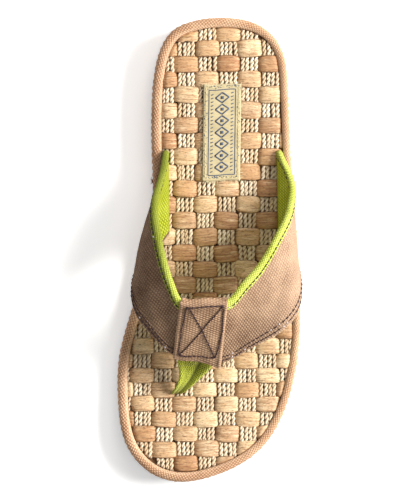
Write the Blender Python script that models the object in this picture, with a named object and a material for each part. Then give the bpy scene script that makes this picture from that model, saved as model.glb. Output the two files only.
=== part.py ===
"""Toe post sandal, a left shoe, modelled piece by piece as a maker would assemble it.

The toe points along -Y, the little toe's side is +X and the tread rests on Z = 0. Lengths are in metres.
In the tables, "along" is a share of SOLE_LENGTH from the back of the heel to the tip of the toe, and
"across" is a share of SOLE_WIDTH from the middle, positive on the little toe's side.
"""

import math

import bmesh
import bpy
import numpy as np

# Sole
SOLE_LENGTH = 0.285
SOLE_WIDTH = 0.1127
OUTSOLE_THICKNESS = 0.005
OUTSOLE_BEVEL = 0.0007
WEDGE_HEIGHT = 0.0095
WEDGE_FULL_ALONG = 0.26
WEDGE_END_ALONG = 0.64
WEDGE_THINNEST = 0.0004
TOE_SPRING = 0.008
TOE_SPRING_ALONG = 0.74
HEEL_SPRING = 0.0008
HEEL_SPRING_ALONG = 0.05

# Tread: wide grooves with narrow ones between them
GROOVE_COUNT = 8
GROOVE_FIRST_ALONG = 0.063
GROOVE_PITCH = 0.0332
GROOVE_WIDTH = 0.0055
GROOVE_DEPTH = 0.0024
RIBS_PER_BLOCK = 3
RIB_GROOVE_WIDTH = 0.0016
RIB_GROOVE_DEPTH = 0.0011

# Insole and its binding
INSOLE_THICKNESS = 0.0063
BINDING_WALL = 0.0013
BINDING_LIP = 0.006
BINDING_LIP_NARROWING = 0.0015
BINDING_ROLL = 0.0019
STRIP_FIRST_ALONG = 0.0993
STRIP_PITCH = 0.00944
STRIP_GAP = 0.0005
CORD_BAND_ACROSS = -0.008
CORD_BAND_PITCH = 0.01293
STRIP_OVERHANG = 0.0009
STRIP_RAISE = 0.0011
STRIP_SHOULDER = 0.0013

# Label
LABEL_LENGTH = 0.059
LABEL_WIDTH = 0.0232
LABEL_THICKNESS = 0.0006
LABEL_ALONG = 0.247
LABEL_ACROSS = 0.067

# Strap
STRAP_RISE = 0.057
STRAP_THICKNESS = 0.003
STRAP_STAND = 0.0028
TRIM_WIDTH = 0.0058
TRIM_RAISE = 0.0006
HEM_WIDTH = 0.0062
HEM_RAISE = 0.0004
ANCHOR_REAR_ALONG = 0.286
ANCHOR_FRONT_ALONG = 0.466
ANCHOR_FRONT_IN_MEDIAL = 0.0012
ANCHOR_FRONT_IN_LATERAL = 0.0026

# Tab over the middle of the strap
TAB_THICKNESS = 0.0015
TAB_RETURN = 0.013
TAB_FRONT_OVERHANG = 0.0012

# Toe post
POST_TOP_WIDTH = 0.0215
POST_TOP_THICKNESS = 0.002
POST_FOOT_WIDTH = 0.0068
POST_FOOT_THICKNESS = 0.0056
POST_TUCK = 0.009
POST_RUN_ON = 0.0022
POST_CLEAR = 0.0009
POST_ALONG = 0.808
POST_ACROSS = -0.172

# Clearances
GAP = 0.0003
SLOT_GAP = 0.0005
STRAP_END_CLEAR = 0.0008

# Outline of the sole, seen from above, from the back of the heel round the little toe's side
OUTLINE_COLUMNS = ("along", "across")
OUTLINE = (
    (0.000, 0.065),
    (0.007, 0.214),
    (0.028, 0.320),
    (0.060, 0.386),
    (0.104, 0.420),
    (0.165, 0.432),
    (0.235, 0.438),
    (0.310, 0.448),
    (0.405, 0.467),
    (0.510, 0.486),
    (0.600, 0.497),
    (0.670, 0.500),
    (0.741, 0.484),
    (0.810, 0.446),
    (0.872, 0.386),
    (0.928, 0.288),
    (0.968, 0.148),
    (0.991, -0.003),
    (1.000, -0.132),
    (0.992, -0.262),
    (0.966, -0.369),
    (0.925, -0.446),
    (0.871, -0.486),
    (0.808, -0.498),
    (0.752, -0.496),
    (0.697, -0.472),
    (0.640, -0.430),
    (0.578, -0.381),
    (0.506, -0.335),
    (0.428, -0.308),
    (0.352, -0.304),
    (0.266, -0.310),
    (0.184, -0.309),
    (0.119, -0.295),
    (0.067, -0.262),
    (0.030, -0.203),
    (0.009, -0.100),
)

# Sections of the free part of the strap, from the big toe's side to the little toe's side. Heights are
# shares of STRAP_RISE above the insole, and bulge is the outward bow of the section's middle.
STRAP_COLUMNS = (
    "rear_across",
    "rear_along",
    "rear_height",
    "front_across",
    "front_along",
    "front_height",
    "bulge",
)
STRAP_SECTIONS = (
    (-0.251, 0.336, 0.180, -0.296, 0.511, 0.155, 0.015),
    (-0.274, 0.377, 0.370, -0.370, 0.554, 0.350, 0.040),
    (-0.278, 0.416, 0.525, -0.400, 0.587, 0.500, 0.050),
    (-0.265, 0.453, 0.660, -0.398, 0.618, 0.590, 0.055),
    (-0.244, 0.495, 0.800, -0.364, 0.650, 0.645, 0.050),
    (-0.214, 0.540, 0.920, -0.304, 0.679, 0.640, 0.040),
    (-0.184, 0.575, 0.970, -0.246, 0.704, 0.590, 0.030),
    (-0.141, 0.606, 0.990, -0.176, 0.7225, 0.540, 0.015),
    (-0.023, 0.608, 1.000, -0.055, 0.727, 0.520, 0.010),
    (0.095, 0.605, 0.985, 0.061, 0.737, 0.503, 0.015),
    (0.167, 0.574, 0.940, 0.196, 0.713, 0.555, 0.030),
    (0.251, 0.535, 0.860, 0.310, 0.690, 0.622, 0.035),
    (0.323, 0.491, 0.760, 0.410, 0.664, 0.655, 0.035),
    (0.370, 0.457, 0.665, 0.468, 0.632, 0.622, 0.030),
    (0.414, 0.422, 0.545, 0.484, 0.591, 0.525, 0.018),
    (0.440, 0.384, 0.395, 0.470, 0.551, 0.360, 0.010),
    (0.436, 0.334, 0.200, 0.430, 0.508, 0.155, 0.006),
)
TAB_FIRST_SECTION = 7
TAB_LAST_SECTION = 9

# Toe post from the strap's underside to the footbed. Travel is the share of the way, and width and
# thickness are shares of the change from the top's size to the foot's.
POST_COLUMNS = ("travel", "width", "thickness", "swing")
POST_SECTIONS = (
    (0.16, 0.10, 0.15, 0.10),
    (0.38, 0.36, 0.40, 0.34),
    (0.60, 0.62, 0.66, 0.60),
    (0.80, 0.84, 0.86, 0.85),
)

# Fineness of the meshes
SLAB_STATIONS = 52
OUTLINE_SAMPLES = 720
BINDING_STATIONS = 144
ARM_STATIONS = 20
TAB_STATIONS = 6
END_SHARE = 0.022


def smoothstep(t):
    t = min(1.0, max(0.0, t))
    return t * t * (3 - 2 * t)


def y_of(along):
    return SOLE_LENGTH * (0.5 - along)


def along_of(y):
    return 0.5 - y / SOLE_LENGTH


def x_of(across):
    return SOLE_WIDTH * across


def ground(y):
    """Height of the tread's rolling surface: flat, rising at the toe and a little at the heel."""
    toe = max(0.0, (along_of(y) - TOE_SPRING_ALONG) / (1 - TOE_SPRING_ALONG))
    heel = max(0.0, (HEEL_SPRING_ALONG - along_of(y)) / HEEL_SPRING_ALONG)
    return TOE_SPRING * toe**1.6 + HEEL_SPRING * heel**2


def outsole_top(y):
    return ground(y) + OUTSOLE_THICKNESS


def wedge(y):
    """Height that the midsole lifts the insole above the outsole."""
    run = (along_of(y) - WEDGE_FULL_ALONG) / (WEDGE_END_ALONG - WEDGE_FULL_ALONG)
    return WEDGE_HEIGHT * (1 - smoothstep(run))


def insole_under(y):
    return outsole_top(y) + GAP + wedge(y)


def insole_top(y):
    return insole_under(y) + INSOLE_THICKNESS


def second_slopes(knots, rows):
    """Second derivatives of the natural cubic spline through the rows."""
    count = len(knots)
    step = np.diff(knots)
    system = np.eye(count)
    right = np.zeros_like(rows)
    for i in range(1, count - 1):
        system[i, i - 1 : i + 2] = step[i - 1], 2 * (step[i - 1] + step[i]), step[i]
        change = (rows[i + 1] - rows[i]) / step[i] - (rows[i] - rows[i - 1]) / step[i - 1]
        right[i] = 6 * change
    return np.linalg.solve(system, right)


def spline(knots, rows):
    """A smooth curve through the rows, as a function of one number or an array of them."""
    knots = np.asarray(knots, float)
    rows = np.asarray(rows, float)
    bend = second_slopes(knots, rows)

    def at(t):
        t = np.atleast_1d(t)
        i = np.clip(np.searchsorted(knots, t) - 1, 0, len(knots) - 2)
        step = (knots[i + 1] - knots[i])[:, None]
        b = (t[:, None] - knots[i][:, None]) / step
        a = 1 - b
        curved = (a**3 - a) * bend[i] + (b**3 - b) * bend[i + 1]
        return a * rows[i] + b * rows[i + 1] + curved * step**2 / 6

    return at


def spans(points):
    """Distance run from the first point to each of the points."""
    steps = np.linalg.norm(np.diff(points, axis=0), axis=1)
    return np.concatenate([[0.0], np.cumsum(steps)])


def closed_outline():
    """The sole's outline as many points, evenly spaced, anticlockwise from above."""
    points = np.array([(x_of(across), y_of(along)) for along, across in OUTLINE])
    turns = np.concatenate([points, points, points, points[:1]])
    run = spans(turns)
    once = run[len(points)]
    curve = spline(run, turns)
    fine = curve(np.linspace(once, 2 * once, OUTLINE_SAMPLES * 4 + 1))
    lengths = spans(fine)
    wanted = np.linspace(0, lengths[-1], OUTLINE_SAMPLES + 1)[:-1]
    even = np.stack([np.interp(wanted, lengths, fine[:, k]) for k in range(2)], axis=1)
    area = np.sum(even[:, 0] * np.roll(even[:, 1], -1) - np.roll(even[:, 0], -1) * even[:, 1])
    return even if area > 0 else even[::-1]


def inward(points):
    """The direction across a closed line, towards its inside, at each of its points."""
    ahead = np.roll(points, -1, axis=0) - np.roll(points, 1, axis=0)
    ahead /= np.linalg.norm(ahead, axis=1)[:, None]
    return np.stack([-ahead[:, 1], ahead[:, 0]], axis=1)


def inset(points, distance):
    """The closed line of points moved inwards by one distance, or by one for each point."""
    return points + inward(points) * np.reshape(distance, (-1, 1))


def lip_width(points):
    """Width of the binding's lip at each point: narrower along the little toe's side."""
    lateral = np.maximum(0.0, -inward(points)[:, 0])
    return BINDING_LIP - BINDING_LIP_NARROWING * lateral


def side_at(points, y, side):
    """x of the closed line at y, on the lateral side (+1) or the medial side (-1)."""
    middle = x_of(OUTLINE[0][1])
    toe, heel = np.argmin(points[:, 1]), np.argmax(points[:, 1])
    turned = np.roll(points, -toe, axis=0)
    heel = (heel - toe) % len(points)
    lateral, medial = turned[: heel + 1], turned[heel:][::-1]
    chosen = lateral if side > 0 else medial
    order = np.argsort(chosen[:, 1])
    return float(np.interp(y, chosen[order, 1], chosen[order, 0], left=middle, right=middle))


def stations(points, count):
    """Places along Y between the ends of a closed line, closer together at the ends."""
    low, high = points[:, 1].min(), points[:, 1].max()
    turn = np.linspace(END_SHARE * math.pi, (1 - END_SHARE) * math.pi, count)
    return (low + high) / 2 - (high - low) / 2 * np.cos(turn)


def make_object(name, vertices, faces, material):
    mesh = bpy.data.meshes.new(name)
    mesh.from_pydata([tuple(v) for v in vertices], [], faces)
    made = bmesh.new()
    made.from_mesh(mesh)
    bmesh.ops.recalc_face_normals(made, faces=made.faces)
    made.to_mesh(mesh)
    made.free()
    obj = bpy.data.objects.new(name, mesh)
    bpy.context.scene.collection.objects.link(obj)
    if material:
        mesh.materials.append(material)
    return obj


def skin(name, rings, material=None, round_trip=False):
    """A solid skinned over rings of equally many points, capped at its ends or joined end to end."""
    size = len(rings[0])
    vertices = [point for ring in rings for point in ring]
    faces = []
    for i in range(len(rings) if round_trip else len(rings) - 1):
        here, there = i * size, (i + 1) % len(rings) * size
        for k in range(size):
            after = (k + 1) % size
            faces.append((here + k, here + after, there + after, there + k))
    if not round_trip:
        faces.append(tuple(range(size)))
        faces.append(tuple(range((len(rings) - 1) * size, len(rings) * size)))
    return make_object(name, vertices, faces, material)


def slab(name, line, under, top, material=None, first=None, bevel=0.0):
    """A layer of the sole inside a closed line, between two heights given as functions of y."""
    rings = []
    for y in stations(line, SLAB_STATIONS):
        if first is not None and y < first:
            continue
        rings.append(slab_ring(line, y, under, top, bevel))
    if first is not None:
        rings.insert(0, slab_ring(line, first, under, top, bevel))
    return skin(name, rings, material)


def slab_ring(line, y, under, top, bevel):
    left, right = side_at(line, y, -1), side_at(line, y, 1)
    low, high = under(y), top(y)
    ring = [(left, low), (right, low), (right, high), (left, high)]
    if bevel:
        ring = [
            (left + bevel, low),
            (right - bevel, low),
            (right, low + bevel),
            (right, high),
            (left, high),
            (left, low + bevel),
        ]
    return [(x, y, z) for x, z in ring]


def block(name, centre, size, tilt=0.0):
    """A box that cuts or joins, turned about X."""
    half = np.array(size) / 2
    corners = [(sx, sy, sz) for sx in (-1, 1) for sy in (-1, 1) for sz in (-1, 1)]
    turn = np.array(
        [
            [1, 0, 0],
            [0, math.cos(tilt), -math.sin(tilt)],
            [0, math.sin(tilt), math.cos(tilt)],
        ]
    )
    points = [turn @ (np.array(corner) * half) + np.array(centre) for corner in corners]
    faces = [(0, 1, 3, 2), (4, 6, 7, 5), (0, 4, 5, 1), (2, 3, 7, 6), (0, 2, 6, 4), (1, 5, 7, 3)]
    return make_object(name, points, faces, None)


def join(name, objects):
    """Several separate helpers as one helper object."""
    vertices, faces = [], []
    for obj in objects:
        start = len(vertices)
        vertices += [tuple(v.co) for v in obj.data.vertices]
        faces += [tuple(start + k for k in face.vertices) for face in obj.data.polygons]
        bpy.data.objects.remove(obj)
    return make_object(name, vertices, faces, None)


def combine(obj, other, operation):
    """Applies a Boolean with another object and removes that object."""
    modifier = obj.modifiers.new(operation.lower(), "BOOLEAN")
    modifier.operation = operation
    modifier.solver = "EXACT"
    modifier.object = other
    graph = bpy.context.evaluated_depsgraph_get()
    mesh = bpy.data.meshes.new_from_object(obj.evaluated_get(graph))
    obj.modifiers.clear()
    obj.data = mesh
    bpy.data.objects.remove(other)
    return obj


def finish(name, colour, roughness):
    material = bpy.data.materials.new(name)
    material.use_nodes = True
    shader = material.node_tree.nodes["Principled BSDF"]
    shader.inputs["Base Color"].default_value = (*colour, 1)
    shader.inputs["Roughness"].default_value = roughness
    shader.inputs["Metallic"].default_value = 0.0
    return material


def make_outsole(line, material):
    """The rubber outsole, with the tread's grooves cut across it."""
    outsole = slab("outsole", line, ground, outsole_top, material, bevel=OUTSOLE_BEVEL)
    places = []
    for i in range(GROOVE_COUNT):
        y = y_of(GROOVE_FIRST_ALONG) - i * GROOVE_PITCH
        places.append((y, GROOVE_WIDTH, GROOVE_DEPTH))
        for k in range(1, RIBS_PER_BLOCK + 1):
            narrow = y - k * GROOVE_PITCH / (RIBS_PER_BLOCK + 1)
            places.append((narrow, RIB_GROOVE_WIDTH, RIB_GROOVE_DEPTH))
    end = line[:, 1].min() + GROOVE_WIDTH
    cutters = []
    for n, (y, width, depth) in enumerate(places):
        if y < end:
            continue
        slope = math.atan2(ground(y + width) - ground(y - width), 2 * width)
        tall = 2 * (OUTSOLE_THICKNESS + TOE_SPRING)
        centre = (
            0,
            y + math.sin(slope) * (tall / 2 - depth),
            ground(y) - math.cos(slope) * (tall / 2 - depth),
        )
        cutters.append(block(f"groove_{n}", centre, (2 * SOLE_WIDTH, width, tall), slope))
    return combine(outsole, join("grooves", cutters), "DIFFERENCE")


def make_midsole(line, material):
    """The foam wedge, from the heel to where it thins out before the ball."""
    ys = np.linspace(y_of(WEDGE_FULL_ALONG), y_of(WEDGE_END_ALONG), 400)
    thick = [wedge(y) - GAP for y in ys]
    first = float(ys[max(k for k, t in enumerate(thick) if t > WEDGE_THINNEST)])
    return slab(
        "midsole",
        line,
        lambda y: outsole_top(y) + GAP,
        lambda y: insole_under(y) - GAP,
        material,
        first=first,
    )


def strip_pads(line):
    """The raised crossings of the flat strips, in a chequer, cut to the inside of the binding."""
    half_x = (CORD_BAND_PITCH + 2 * STRIP_OVERHANG) / 2
    half_y = (STRIP_PITCH - STRIP_GAP) / 2
    rows = int(SOLE_LENGTH / STRIP_PITCH) + 1
    columns = int(SOLE_WIDTH / 2 / CORD_BAND_PITCH) + 1
    low, high = line[:, 1].min(), line[:, 1].max()
    pads = []
    for row in range(-rows, rows + 1):
        y = y_of(STRIP_FIRST_ALONG) - row * STRIP_PITCH
        if not low < y < high:
            continue
        for column in range(-columns, columns + 1):
            x = x_of(CORD_BAND_ACROSS) + column * CORD_BAND_PITCH
            over = (row + column) % 2
            if not over or not pad_shows(line, x, y, half_x):
                continue
            pads.append(pad(x, y, half_x, half_y))
    pads = join("pads", pads)
    inside = slab("inside", line, lambda y: -SOLE_LENGTH, lambda y: SOLE_LENGTH)
    return combine(pads, inside, "INTERSECT")


def pad_shows(line, x, y, half_x):
    return side_at(line, y, -1) < x + half_x / 2 and x - half_x / 2 < side_at(line, y, 1)


def pad(x, y, half_x, half_y):
    """One crossing: a low pillow whose foot is sunk into the insole."""
    sunk = INSOLE_THICKNESS / 3
    rings = []
    for grow, rise in ((0.0, -sunk), (0.0, STRIP_RAISE / 2), (-STRIP_SHOULDER, STRIP_RAISE)):
        ring = []
        for sx, sy in ((-1, -1), (1, -1), (1, 1), (-1, 1)):
            px = x + sx * (half_x + grow)
            py = y + sy * (half_y + grow)
            ring.append((px, py, insole_top(py) + rise))
        rings.append(ring)
    return skin("pad", rings)


def make_insole(outline, strap, material):
    """The board with its woven face, slotted for the strap's two ends and the toe post."""
    insole = slab(
        "woven_insole", inset(outline, BINDING_WALL + GAP), insole_under, insole_top, material
    )
    combine(insole, strip_pads(inset(outline, lip_width(outline) + GAP)), "UNION")
    for side in (-1, 1):
        combine(insole, anchor_slot(strap, side), "DIFFERENCE")
    foot = post_foot()
    clear = 2 * SLOT_GAP
    size = (POST_FOOT_WIDTH + clear, POST_FOOT_THICKNESS + clear, 4 * INSOLE_THICKNESS)
    combine(insole, block("post_slot", foot, size), "DIFFERENCE")
    return insole


def anchor_slot(strap, side):
    """A cutter round one end of the strap, standing through the insole."""
    rear, front = (np.array(p) for p in strap["anchors"][side])
    way = (front - rear)[:2] / np.linalg.norm((front - rear)[:2])
    across = np.array([-way[1], way[0]])
    half = STRAP_THICKNESS / 2 + TRIM_RAISE + SLOT_GAP
    ring = []
    for point, push in ((rear[:2], -1), (front[:2], 1)):
        for lean in (-push, push):
            ring.append(point + way * push * SLOT_GAP + across * lean * half)
    low = min(rear[2], front[2]) - 2 * INSOLE_THICKNESS
    high = max(rear[2], front[2]) + 2 * INSOLE_THICKNESS
    return skin("slot", [[(*p, z) for p in ring] for z in (low, high)])


def make_binding(outline, material):
    """The canvas rolled over the insole's edge, as one closed ring."""
    every = len(outline) // BINDING_STATIONS
    lip = lip_width(outline)
    section = (
        (0.0, "under", 0.0),
        (0.0, "top", -0.37 * BINDING_ROLL),
        (0.12, "top", 0.47 * BINDING_ROLL),
        (0.33, "top", 0.89 * BINDING_ROLL),
        (0.57, "top", BINDING_ROLL),
        (0.82, "top", 0.79 * BINDING_ROLL),
        (1.0, "top", 0.37 * BINDING_ROLL),
        (1.0, "top", GAP),
        ("wall", "top", GAP),
        ("wall", "under", 0.0),
    )
    lines = []
    for share, _, _ in section:
        distance = BINDING_WALL if share == "wall" else lip * share
        lines.append(inset(outline, distance)[::every])
    rings = []
    for i in range(len(lines[0])):
        y = lines[0][i][1]
        ring = []
        for line, (_, level, rise) in zip(lines, section):
            height = insole_under(y) if level == "under" else insole_top(y)
            ring.append((*line[i], height + rise))
        rings.append(ring)
    return skin("edge_binding", rings, material, round_trip=True)


def strap_surface(outline):
    """The strap's middle surface as a function of run (distance along the band, from the big toe's
    side) and cross (distance from its rear edge), with the places of its sections and its anchors."""
    anchors = {}
    line = inset(outline, lip_width(outline) + STRAP_THICKNESS / 2 + TRIM_RAISE + 2 * GAP)
    for side, further_in in ((-1, ANCHOR_FRONT_IN_MEDIAL), (1, ANCHOR_FRONT_IN_LATERAL)):
        ends = []
        for along, shift in ((ANCHOR_REAR_ALONG, 0.0), (ANCHOR_FRONT_ALONG, further_in)):
            y = y_of(along)
            ends.append((side_at(line, y, side) - side * shift, y, insole_top(y)))
        anchors[side] = ends
    rears, fronts, bulges = [], [], []
    for row in STRAP_SECTIONS:
        cell = dict(zip(STRAP_COLUMNS, row))
        for end, kept in (("rear", rears), ("front", fronts)):
            y = y_of(cell[end + "_along"])
            z = insole_top(y) + STRAP_RISE * cell[end + "_height"]
            kept.append((x_of(cell[end + "_across"]), y, z))
        bulges.append(STRAP_RISE * cell["bulge"])
    deep = -(INSOLE_THICKNESS - STRAP_END_CLEAR)
    for drop in (STRAP_STAND, 0.0, deep):
        for side, place in ((-1, 0), (1, len(rears) + 2)):
            for kept, (x, y, z) in ((rears, anchors[side][0]), (fronts, anchors[side][1])):
                kept.insert(min(place, len(kept)), (x, y, z + drop))
            bulges.insert(min(place, len(bulges)), 0.0)
    rears, fronts = np.array(rears), np.array(fronts)
    knots = spans((rears + fronts) / 2)
    bulges = np.array(bulges)[:, None]
    edges = spline(knots, np.hstack([rears, fronts, bulges]))

    def width(run):
        row = edges(run)[0]
        return float(np.linalg.norm(row[3:6] - row[:3]))

    def flat(run, share):
        row = edges(run)[0]
        return row[:3] * (1 - share) + row[3:6] * share

    def normal(run, share):
        step = 0.0005
        ahead = flat(min(run + step, knots[-1]), share) - flat(max(run - step, 0), share)
        over = flat(run, 1.0) - flat(run, 0.0)
        out = np.cross(over, ahead)
        return out / np.linalg.norm(out)

    def at(run, cross, lift=0.0):
        share = cross / width(run)
        bow = edges(run)[0][6] * 4 * share * (1 - share)
        return flat(run, share) + normal(run, share) * (bow + lift)

    return {"at": at, "width": width, "normal": normal, "knots": knots, "anchors": anchors}


def tab_runs(strap):
    """The stations of the tab, which the strap shares, so that the two lie a constant gap apart."""
    first = strap["knots"][TAB_FIRST_SECTION + 3]
    last = strap["knots"][TAB_LAST_SECTION + 3]
    return np.linspace(first, last, TAB_STATIONS)


def strap_runs(strap):
    middle = tab_runs(strap)
    medial = np.linspace(0, middle[0], ARM_STATIONS)
    lateral = np.linspace(middle[-1], strap["knots"][-1], ARM_STATIONS)
    return np.concatenate([medial, middle[1:-1], lateral])


def make_upper(strap, material):
    """The V strap as one band: a bead of trim along its rear edge and a hem along its front."""
    half = STRAP_THICKNESS / 2
    rings = []
    for run in strap_runs(strap):
        wide = strap["width"](run)
        hem, trim = wide - HEM_WIDTH, TRIM_WIDTH
        middle = (hem + trim) / 2
        section = (
            (0.0, half * 0.45),
            (half * 0.45, half + TRIM_RAISE),
            (trim - TRIM_RAISE, half + TRIM_RAISE),
            (trim, half),
            (middle, half),
            (hem, half),
            (hem + HEM_RAISE, half + HEM_RAISE),
            (wide - half * 0.4, half + HEM_RAISE),
            (wide, half * 0.4),
            (wide, -half * 0.4),
            (wide - half * 0.4, -half),
            (middle, -half),
            (half * 0.45, -half),
            (0.0, -half * 0.45),
        )
        rings.append([strap["at"](run, cross, lift) for cross, lift in section])
    return skin("upper", rings, material)


def make_tab(strap, material):
    """The tab folded over the strap's middle: a top, a turn round the rear edge and a return below."""
    over = STRAP_THICKNESS / 2 + TRIM_RAISE + GAP
    under = STRAP_THICKNESS / 2 + 2 * GAP
    thick = TAB_THICKNESS
    rings = []
    for run in tab_runs(strap):
        wide = strap["width"](run)
        hem = wide - HEM_WIDTH
        middle = (hem + TRIM_WIDTH) / 2
        front = wide + TAB_FRONT_OVERHANG
        section = (
            (front, over),
            (front, over + thick * 0.7),
            (front - thick * 0.5, over + thick),
            (middle, over + thick),
            (TRIM_WIDTH, over + thick),
            (-GAP, over + thick * 0.9),
            (-GAP - thick * 0.8, over + thick * 0.4),
            (-GAP - thick, 0.0),
            (-GAP - thick * 0.8, -under - thick * 0.5),
            (-GAP, -under - thick),
            (TAB_RETURN, -under - thick),
            (TAB_RETURN, -under),
            (-GAP, -under),
            (-GAP, over),
            (TRIM_WIDTH, over),
            (middle, over),
            (hem, over),
        )
        rings.append([strap["at"](run, cross, lift) for cross, lift in section])
    return skin("centre_tab", rings, material)


def post_foot():
    y = y_of(POST_ALONG)
    return np.array([x_of(POST_ACROSS), y, insole_top(y)])


def make_post(strap, material):
    """The toe post: webbing tucked under the strap, folding up as it comes down to the footbed."""
    middle = strap["knots"][(TAB_FIRST_SECTION + TAB_LAST_SECTION) // 2 + 3]
    wide = strap["width"](middle)
    lift = -(STRAP_THICKNESS / 2 + POST_CLEAR + POST_TOP_THICKNESS / 2)
    side = strap["at"](middle + 0.001, wide) - strap["at"](middle - 0.001, wide)
    side /= np.linalg.norm(side)
    start = strap["at"](middle, wide - POST_TUCK, lift)
    edge = strap["at"](middle, wide + POST_RUN_ON, lift)
    foot = post_foot()
    mouth = foot + (0, 0, STRIP_RAISE + 4 * GAP)
    rows = [(start, 0.0, 0.0, 0.0), (edge, 0.0, 0.0, 0.0)]
    for row in POST_SECTIONS:
        cell = dict(zip(POST_COLUMNS, row))
        place = edge + (mouth - edge) * cell["travel"]
        rows.append((place, cell["width"], cell["thickness"], cell["swing"]))
    rows.append((mouth, 1.0, 1.0, 1.0))
    rows.append((foot - (0, 0, INSOLE_THICKNESS - GAP), 1.0, 1.0, 1.0))
    rings = []
    for i, (place, narrow, thicken, swing) in enumerate(rows):
        before, after = rows[max(i - 1, 0)][0], rows[min(i + 1, len(rows) - 1)][0]
        way = (after - before) / np.linalg.norm(after - before)
        if i >= len(rows) - 2:
            way = np.array([0.0, 0.0, -1.0])
        across = side * (1 - swing) + np.array([1.0, 0.0, 0.0]) * swing
        across -= way * (across @ way)
        across /= np.linalg.norm(across)
        out = np.cross(across, way)
        half_w = (POST_TOP_WIDTH + (POST_FOOT_WIDTH - POST_TOP_WIDTH) * narrow) / 2
        half_t = (POST_TOP_THICKNESS + (POST_FOOT_THICKNESS - POST_TOP_THICKNESS) * thicken) / 2
        corner = min(half_w, half_t) * 0.5
        ring = []
        for sw, st in ((1, 1), (-1, 1), (-1, -1), (1, -1)):
            near = (half_w * sw, (half_t - corner) * st)
            far = ((half_w - corner) * sw, half_t * st)
            for a, b in (near, far) if sw == st else (far, near):
                ring.append(place + across * a + out * b)
        rings.append(ring)
    return skin("toe_post", rings, material)


def make_label(material):
    """The cloth label, lying on the crossings of the weave."""
    x = x_of(LABEL_ACROSS)
    middle = y_of(LABEL_ALONG)
    rings = []
    for y in np.linspace(middle - LABEL_LENGTH / 2, middle + LABEL_LENGTH / 2, 9):
        low = insole_top(y) + STRIP_RAISE + GAP
        high = low + LABEL_THICKNESS
        left, right = x - LABEL_WIDTH / 2, x + LABEL_WIDTH / 2
        rings.append([(left, y, low), (right, y, low), (right, y, high), (left, y, high)])
    return skin("label", rings, material)


def centre_on_footprint(objects):
    """Moves the finished shoe so that the middle of its box's base is at the origin."""
    points = np.array([v.co for obj in objects for v in obj.data.vertices])
    low, high = points.min(axis=0), points.max(axis=0)
    shift = (-(low[0] + high[0]) / 2, -(low[1] + high[1]) / 2, -low[2])
    for obj in objects:
        for vertex in obj.data.vertices:
            vertex.co.x += shift[0]
            vertex.co.y += shift[1]
            vertex.co.z += shift[2]


def main():
    for obj in list(bpy.data.objects):
        bpy.data.objects.remove(obj)
    outline = closed_outline()
    strap = strap_surface(outline)
    canvas = finish("brown_canvas", (0.30, 0.19, 0.13), 0.9)
    pieces = [
        make_outsole(outline, finish("black_rubber", (0.055, 0.06, 0.068), 0.75)),
        make_midsole(outline, finish("tan_foam", (0.86, 0.52, 0.29), 0.8)),
        make_insole(outline, strap, finish("woven_leaf", (0.66, 0.44, 0.23), 0.7)),
        make_binding(outline, finish("peach_canvas", (0.72, 0.44, 0.29), 0.9)),
        make_upper(strap, canvas),
        make_tab(strap, canvas),
        make_post(strap, finish("green_webbing", (0.40, 0.52, 0.03), 0.85)),
        make_label(finish("cream_cloth", (0.78, 0.70, 0.46), 0.85)),
    ]
    centre_on_footprint(pieces)


main()
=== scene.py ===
"""Looks of the toe post sandal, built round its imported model.

The tables and sizes are those of the part's own source. "along" is a share of the sole's length from the
back of the heel, "across" a share of its width from the middle, positive on the little toe's side.
Lengths are in metres, and the materials read a "metric" attribute that gives each face its place on
its own cloth, strip or cord in millimetres.
"""

import math

import bmesh
import bpy
import numpy as np
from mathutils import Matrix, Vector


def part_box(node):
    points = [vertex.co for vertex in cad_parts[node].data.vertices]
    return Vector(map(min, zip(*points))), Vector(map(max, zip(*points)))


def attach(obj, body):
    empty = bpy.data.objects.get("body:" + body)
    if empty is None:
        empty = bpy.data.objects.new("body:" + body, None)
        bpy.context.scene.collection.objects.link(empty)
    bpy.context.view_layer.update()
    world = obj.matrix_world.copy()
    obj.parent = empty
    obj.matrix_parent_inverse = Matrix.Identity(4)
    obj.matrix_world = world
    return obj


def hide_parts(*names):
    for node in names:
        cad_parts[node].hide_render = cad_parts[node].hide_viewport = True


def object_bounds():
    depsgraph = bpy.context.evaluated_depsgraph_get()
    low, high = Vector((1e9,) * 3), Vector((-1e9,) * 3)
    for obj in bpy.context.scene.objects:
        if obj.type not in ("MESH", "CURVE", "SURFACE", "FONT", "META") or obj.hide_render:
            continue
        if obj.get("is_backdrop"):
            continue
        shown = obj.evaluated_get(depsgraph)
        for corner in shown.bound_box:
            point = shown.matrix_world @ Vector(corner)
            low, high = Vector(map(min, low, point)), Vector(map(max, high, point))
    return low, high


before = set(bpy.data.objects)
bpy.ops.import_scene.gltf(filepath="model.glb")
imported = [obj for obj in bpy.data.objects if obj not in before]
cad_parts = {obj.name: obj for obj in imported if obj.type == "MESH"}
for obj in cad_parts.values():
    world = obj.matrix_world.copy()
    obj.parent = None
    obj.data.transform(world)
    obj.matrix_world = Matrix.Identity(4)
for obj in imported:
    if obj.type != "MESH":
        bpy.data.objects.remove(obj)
CAD_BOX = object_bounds()
RANDOM = np.random.default_rng(7)

# Sole
SOLE_LENGTH = 0.285
SOLE_WIDTH = 0.1127
OUTSOLE_THICKNESS = 0.005
WEDGE_HEIGHT = 0.0095
WEDGE_FULL_ALONG = 0.26
WEDGE_END_ALONG = 0.64
WEDGE_THINNEST = 0.0004
TOE_SPRING = 0.008
TOE_SPRING_ALONG = 0.74
HEEL_SPRING = 0.0008
HEEL_SPRING_ALONG = 0.05
GROOVE_COUNT = 8
GROOVE_FIRST_ALONG = 0.063
GROOVE_PITCH = 0.0332
GROOVE_WIDTH = 0.0055
GROOVE_DEPTH = 0.0024
RIBS_PER_BLOCK = 3
RIB_GROOVE_WIDTH = 0.0016
RIB_GROOVE_DEPTH = 0.0011

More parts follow.
